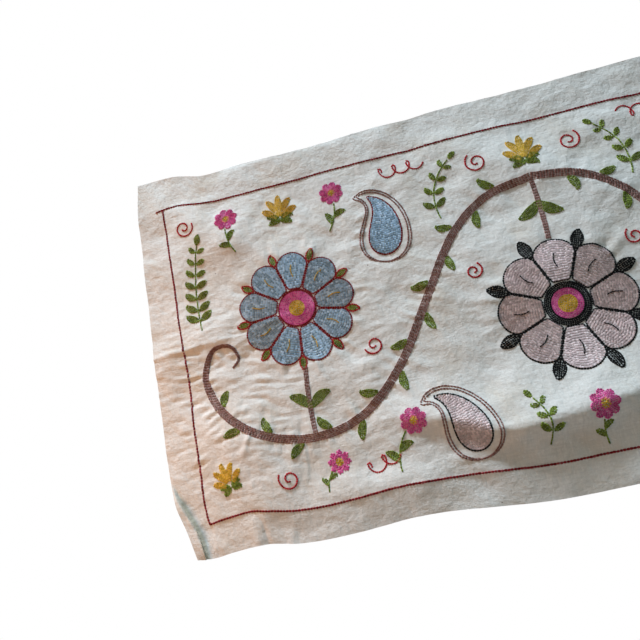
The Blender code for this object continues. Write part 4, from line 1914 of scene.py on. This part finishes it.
# The two sides' map: each side has half of it, with a margin, and the cut edge is a narrow strip by its side.
MAP_MARGIN = 0.01
CUT_STRIP = 0.003
SHARP_ANGLE = 60


def grid_quads(rows, columns):
    """The corners of each cell of a grid, in the order that faces away from the wall."""
    number = np.arange(rows * columns).reshape(rows, columns)
    corners = (number[:-1, :-1], number[1:, :-1], number[1:, 1:], number[:-1, 1:])
    return np.stack([corner.ravel() for corner in corners], axis=1), number


def rim_of(number):
    """The numbers round a grid's rim, to the right along its top and on round."""
    return np.concatenate([number[0, :-1], number[:-1, -1], number[-1, :0:-1], number[:0:-1, 0]])


def cloth_shell(surface, thickness):
    """A closed sheet: its points, its faces, and whether each lies on its front, its back or its cut edge."""
    face, number = grid_quads(len(FLAT_Z), len(FLAT_X))
    total = number.size
    rim = rim_of(number)
    after = np.roll(rim, -1)
    cut = np.stack([rim, after, after + total, rim + total], axis=1)
    points = np.concatenate([surface.place.reshape(-1, 3),
                             (surface.place - surface.facing * thickness).reshape(-1, 3)])
    quads = np.concatenate([face, face[:, ::-1] + total, cut])
    kinds = np.repeat([0, 1, 2], [len(face), len(face), len(cut)])
    return points, quads, kinds


def cloth_maps(mesh, quads, kinds):
    """The weave's map in metres, and a map that gives each side of the sheet half of a square."""
    total = len(FLAT_X) * len(FLAT_Z)
    row, column = np.divmod(quads % total, len(FLAT_X))
    across, down = FLAT_X[column] / PANEL_WIDTH + 0.5, -FLAT_Z[row] / PANEL_DROP
    metres = np.stack([across * PANEL_WIDTH, -down * PANEL_DROP], axis=2)
    side = kinds[:, None] + np.zeros_like(row)
    shift = np.where(side == 1, MAP_MARGIN, 0.5 + MAP_MARGIN) + (1 - down) * (0.5 - 2 * MAP_MARGIN)
    edge = (side == 2) * (quads >= total) * CUT_STRIP
    laid = np.stack([MAP_MARGIN + across * (1 - 2 * MAP_MARGIN), shift + edge], axis=2)
    for name, places in (("weave", metres), ("OFBake", laid)):
        mesh.uv_layers.new(name=name).uv.foreach_set("vector", places.astype(float).ravel())


def make_panel(context):
    """The hung cotton, in place of the frame's plain sheet."""
    cloth = context.scene.hanging_cloth
    surface = hung_cloth(cloth.crumple, cloth.pucker, cloth.strain)
    points, quads, kinds = cloth_shell(surface, cloth.thickness)
    mesh = bpy.data.meshes.new("hung_cotton")
    mesh.from_pydata(points.tolist(), [], quads.tolist())
    cloth_maps(mesh, quads, kinds)
    # Painted shade on the turned strip's flank, for the front and the back alike.
    grey = np.tile(painted_flank_shade(FLAT_X + 1j * FLAT_Z[:, None]).ravel(), 2)
    mesh.attributes.new("grey", "FLOAT", "POINT").data.foreach_set("value", grey)
    mesh.shade_smooth()
    mesh.set_sharp_from_angle(angle=radians(SHARP_ANGLE))
    mesh.materials.append(cotton_material(cloth))
    panel = new_object("hung_cotton", mesh)
    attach(panel, "root")
    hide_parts(FRAME_NODE)


# ---------------------------------------------------------------- the stage

FLOOR_SIDES = 96
FLOOR_COLOUR = (0.92, 0.79, 0.71)
FLOOR_ROUGHNESS = 0.9
FLOOR_FADE_START = 0.55
FLOOR_FADE_END = 0.98

# The soft light from all round: nearly none from below, and cool from above, with an even change between.
SKY_BELOW = (0.03, 0.02, 0.01)
SKY_ABOVE = (0.98, 1.22, 1.22)
SKY_TURN = 0.45


def floor_material(radius):
    """A pale floor that fades out towards its rim."""
    material, nodes = new_material("pale_floor")
    place = nodes.add("ShaderNodeTexCoord").outputs["Object"]
    flat = nodes.add("ShaderNodeVectorMath", {"operation": "MULTIPLY"}, {0: place, 1: (1, 1, 0)})
    reach = nodes.add("ShaderNodeVectorMath", {"operation": "LENGTH"}, {0: flat.outputs[0]})
    levels = FLOOR_FADE_START * radius, FLOOR_FADE_END * radius
    fade = 1 - nodes.faded(nodes.amount(reach, "Value"), *levels)
    shader = nodes.add("ShaderNodeBsdfPrincipled", None,
                       {"Base Color": FLOOR_COLOUR, "Roughness": FLOOR_ROUGHNESS, "Alpha": fade})
    nodes.add("ShaderNodeOutputMaterial", None, {"Surface": shader.outputs[0]})
    return material


def make_floor(stage):
    """A round pale floor well below the panel."""
    radius = stage.floor_radius
    turns = np.linspace(0, tau, FLOOR_SIDES, endpoint=False)
    rim = [(radius * np.cos(turn), radius * np.sin(turn), -stage.floor_drop) for turn in turns]
    mesh = bpy.data.meshes.new("floor")
    mesh.from_pydata(rim, [], [tuple(range(len(rim)))])
    mesh.materials.append(floor_material(radius))
    new_object("floor", mesh)


def aimed(place, target):
    """The turn that points a lamp or camera from a place at a target."""
    return (Vector(target) - Vector(place)).to_track_quat("-Z", "Y").to_euler()


class Lamp(NamedTuple):
    """A soft square lamp."""

    name: str
    place: tuple
    target: tuple
    size: float
    colour: tuple


DAYLIGHT = Lamp("daylight", (-0.84, -0.74, 1.94), (-0.25, 0.0, -0.22), 0.40, (0.82, 0.97, 1.11))
BACKLIGHT = Lamp("backlight", (0.40, 1.50, 0.70), (0.0, 0.0, -0.22), 0.80, (0.95, 0.98, 1.0))
LAMPLIGHT = Lamp("lamplight", (-0.79, -0.33, -0.36), (-0.40, 0.0, -0.22), 0.25, (1.0, 0.40, 0.10))


def make_lamp(lamp, power):
    data = bpy.data.lights.new(lamp.name, "AREA")
    data.energy = power
    data.size = lamp.size
    data.color = lamp.colour
    lit = new_object(lamp.name, data)
    lit.location = lamp.place
    lit.rotation_euler = aimed(lamp.place, lamp.target)


def make_world(ambient):
    """A surround that looks white, and lights the cloth softly from above."""
    world = bpy.data.worlds.new("surround")
    world.use_nodes = True
    world.node_tree.nodes.clear()
    nodes = Nodes(world.node_tree)
    seen = nodes.add("ShaderNodeBackground", None, {"Color": (1, 1, 1), "Strength": 1.0})
    way = nodes.add("ShaderNodeSeparateXYZ", None, {0: nodes.add("ShaderNodeTexCoord").outputs["Generated"]})
    above = nodes.faded(nodes.amount(way, "Z"), -SKY_TURN, SKY_TURN)
    cool = nodes.mixed(above, SKY_BELOW, SKY_ABOVE)
    cast = nodes.add("ShaderNodeBackground", None, {"Color": cool, "Strength": ambient})
    path = nodes.add("ShaderNodeLightPath")
    both = nodes.add("ShaderNodeMixShader", None, {0: path.outputs["Is Camera Ray"], 1: cast.outputs[0],
                                                   2: seen.outputs[0]})
    nodes.add("ShaderNodeOutputWorld", None, {"Surface": both.outputs[0]})
    bpy.context.scene.world = world


CAMERA_PLACE = (-0.1739, -0.6675, -0.4180)
CAMERA_TURN = (106.57, 9.82, 10.41)
CAMERA_LENS = 35.0
CAMERA_SENSOR = 36.0
CAMERA_CLIP = 0.01


def make_camera():
    data = bpy.data.cameras.new("camera")
    data.lens = CAMERA_LENS
    data.sensor_width = CAMERA_SENSOR
    data.clip_start = CAMERA_CLIP
    camera = new_object("camera", data)
    camera.location = CAMERA_PLACE
    camera.rotation_euler = [radians(turn) for turn in CAMERA_TURN]
    bpy.context.scene.camera = camera


def make_stage(context):
    """The camera, the floor, the lamps and the surround."""
    stage = context.scene.hanging_stage
    make_camera()
    make_floor(stage)
    make_lamp(DAYLIGHT, stage.daylight)
    make_lamp(LAMPLIGHT, stage.lamplight)
    make_lamp(BACKLIGHT, stage.backlight)
    make_world(stage.ambient)
    context.scene.view_settings.view_transform = "Standard"


# ---------------------------------------------------------------- operators


class HANGING_OT_stage(bpy.types.Operator):
    """Set the camera, the floor and the light"""

    bl_idname = "hanging.stage"
    bl_label = "Stage"

    def execute(self, context):
        make_stage(context)
        return {"FINISHED"}


class HANGING_OT_panel(bpy.types.Operator):
    """Hang the creased cotton panel"""

    bl_idname = "hanging.panel"
    bl_label = "Cotton panel"

    def execute(self, context):
        make_panel(context)
        return {"FINISHED"}


class HANGING_OT_border(bpy.types.Operator):
    """Sew the red border line"""

    bl_idname = "hanging.border"
    bl_label = "Border"

    def execute(self, context):
        sew("border", context)
        return {"FINISHED"}


class HANGING_OT_vine(bpy.types.Operator):
    """Sew the brown vine, its leaves and the sprigs"""

    bl_idname = "hanging.vine"
    bl_label = "Vine and leaves"

    def execute(self, context):
        sew("vine", context)
        return {"FINISHED"}


class HANGING_OT_roundels(bpy.types.Operator):
    """Sew the large round flowers"""

    bl_idname = "hanging.roundels"
    bl_label = "Roundels"

    def execute(self, context):
        sew("roundels", context)
        return {"FINISHED"}


class HANGING_OT_flowers(bpy.types.Operator):
    """Sew the daisies and tulips"""

    bl_idname = "hanging.flowers"
    bl_label = "Small flowers"

    def execute(self, context):
        sew("flowers", context)
        return {"FINISHED"}


class HANGING_OT_drops(bpy.types.Operator):
    """Sew the curled drops"""

    bl_idname = "hanging.drops"
    bl_label = "Curled drops"

    def execute(self, context):
        sew("drops", context)
        return {"FINISHED"}


class HANGING_OT_tendrils(bpy.types.Operator):
    """Sew the red tendrils"""

    bl_idname = "hanging.tendrils"
    bl_label = "Tendrils"

    def execute(self, context):
        sew("tendrils", context)
        return {"FINISHED"}


OPERATORS = (
    HANGING_OT_stage,
    HANGING_OT_border,
    HANGING_OT_vine,
    HANGING_OT_roundels,
    HANGING_OT_flowers,
    HANGING_OT_drops,
    HANGING_OT_tendrils,
    HANGING_OT_panel,
)
SETTINGS = {
    "hanging_cloth": ClothSettings,
    "hanging_stitch": StitchSettings,
    "hanging_threads": ThreadSettings,
    "hanging_stage": StageSettings,
}


class HANGING_PT_sidebar(bpy.types.Panel):
    """Lists what the hanging is made of"""

    bl_label = "Wall hanging"
    bl_idname = "HANGING_PT_sidebar"
    bl_space_type = "VIEW_3D"
    bl_region_type = "UI"
    bl_category = "Hanging"

    def draw(self, context):
        for operator in OPERATORS:
            self.layout.operator(operator.bl_idname)
        for name in SETTINGS:
            box = self.layout.box()
            group = getattr(context.scene, name)
            for field in group.bl_rna.properties:
                if field.identifier not in ("rna_type", "name"):
                    box.prop(group, field.identifier)


def register():
    for kind in (*SETTINGS.values(), *OPERATORS, HANGING_PT_sidebar):
        bpy.utils.register_class(kind)
    for name, kind in SETTINGS.items():
        setattr(bpy.types.Scene, name, PointerProperty(type=kind))


def unregister():
    for name in SETTINGS:
        delattr(bpy.types.Scene, name)
    for kind in reversed((*SETTINGS.values(), *OPERATORS, HANGING_PT_sidebar)):
        bpy.utils.unregister_class(kind)


def main():
    register()
    bpy.ops.hanging.stage()
    bpy.ops.hanging.border()
    bpy.ops.hanging.vine()
    bpy.ops.hanging.roundels()
    bpy.ops.hanging.flowers()
    bpy.ops.hanging.drops()
    bpy.ops.hanging.tendrils()
    bpy.ops.hanging.panel()


if __name__ == "__main__":
    main()
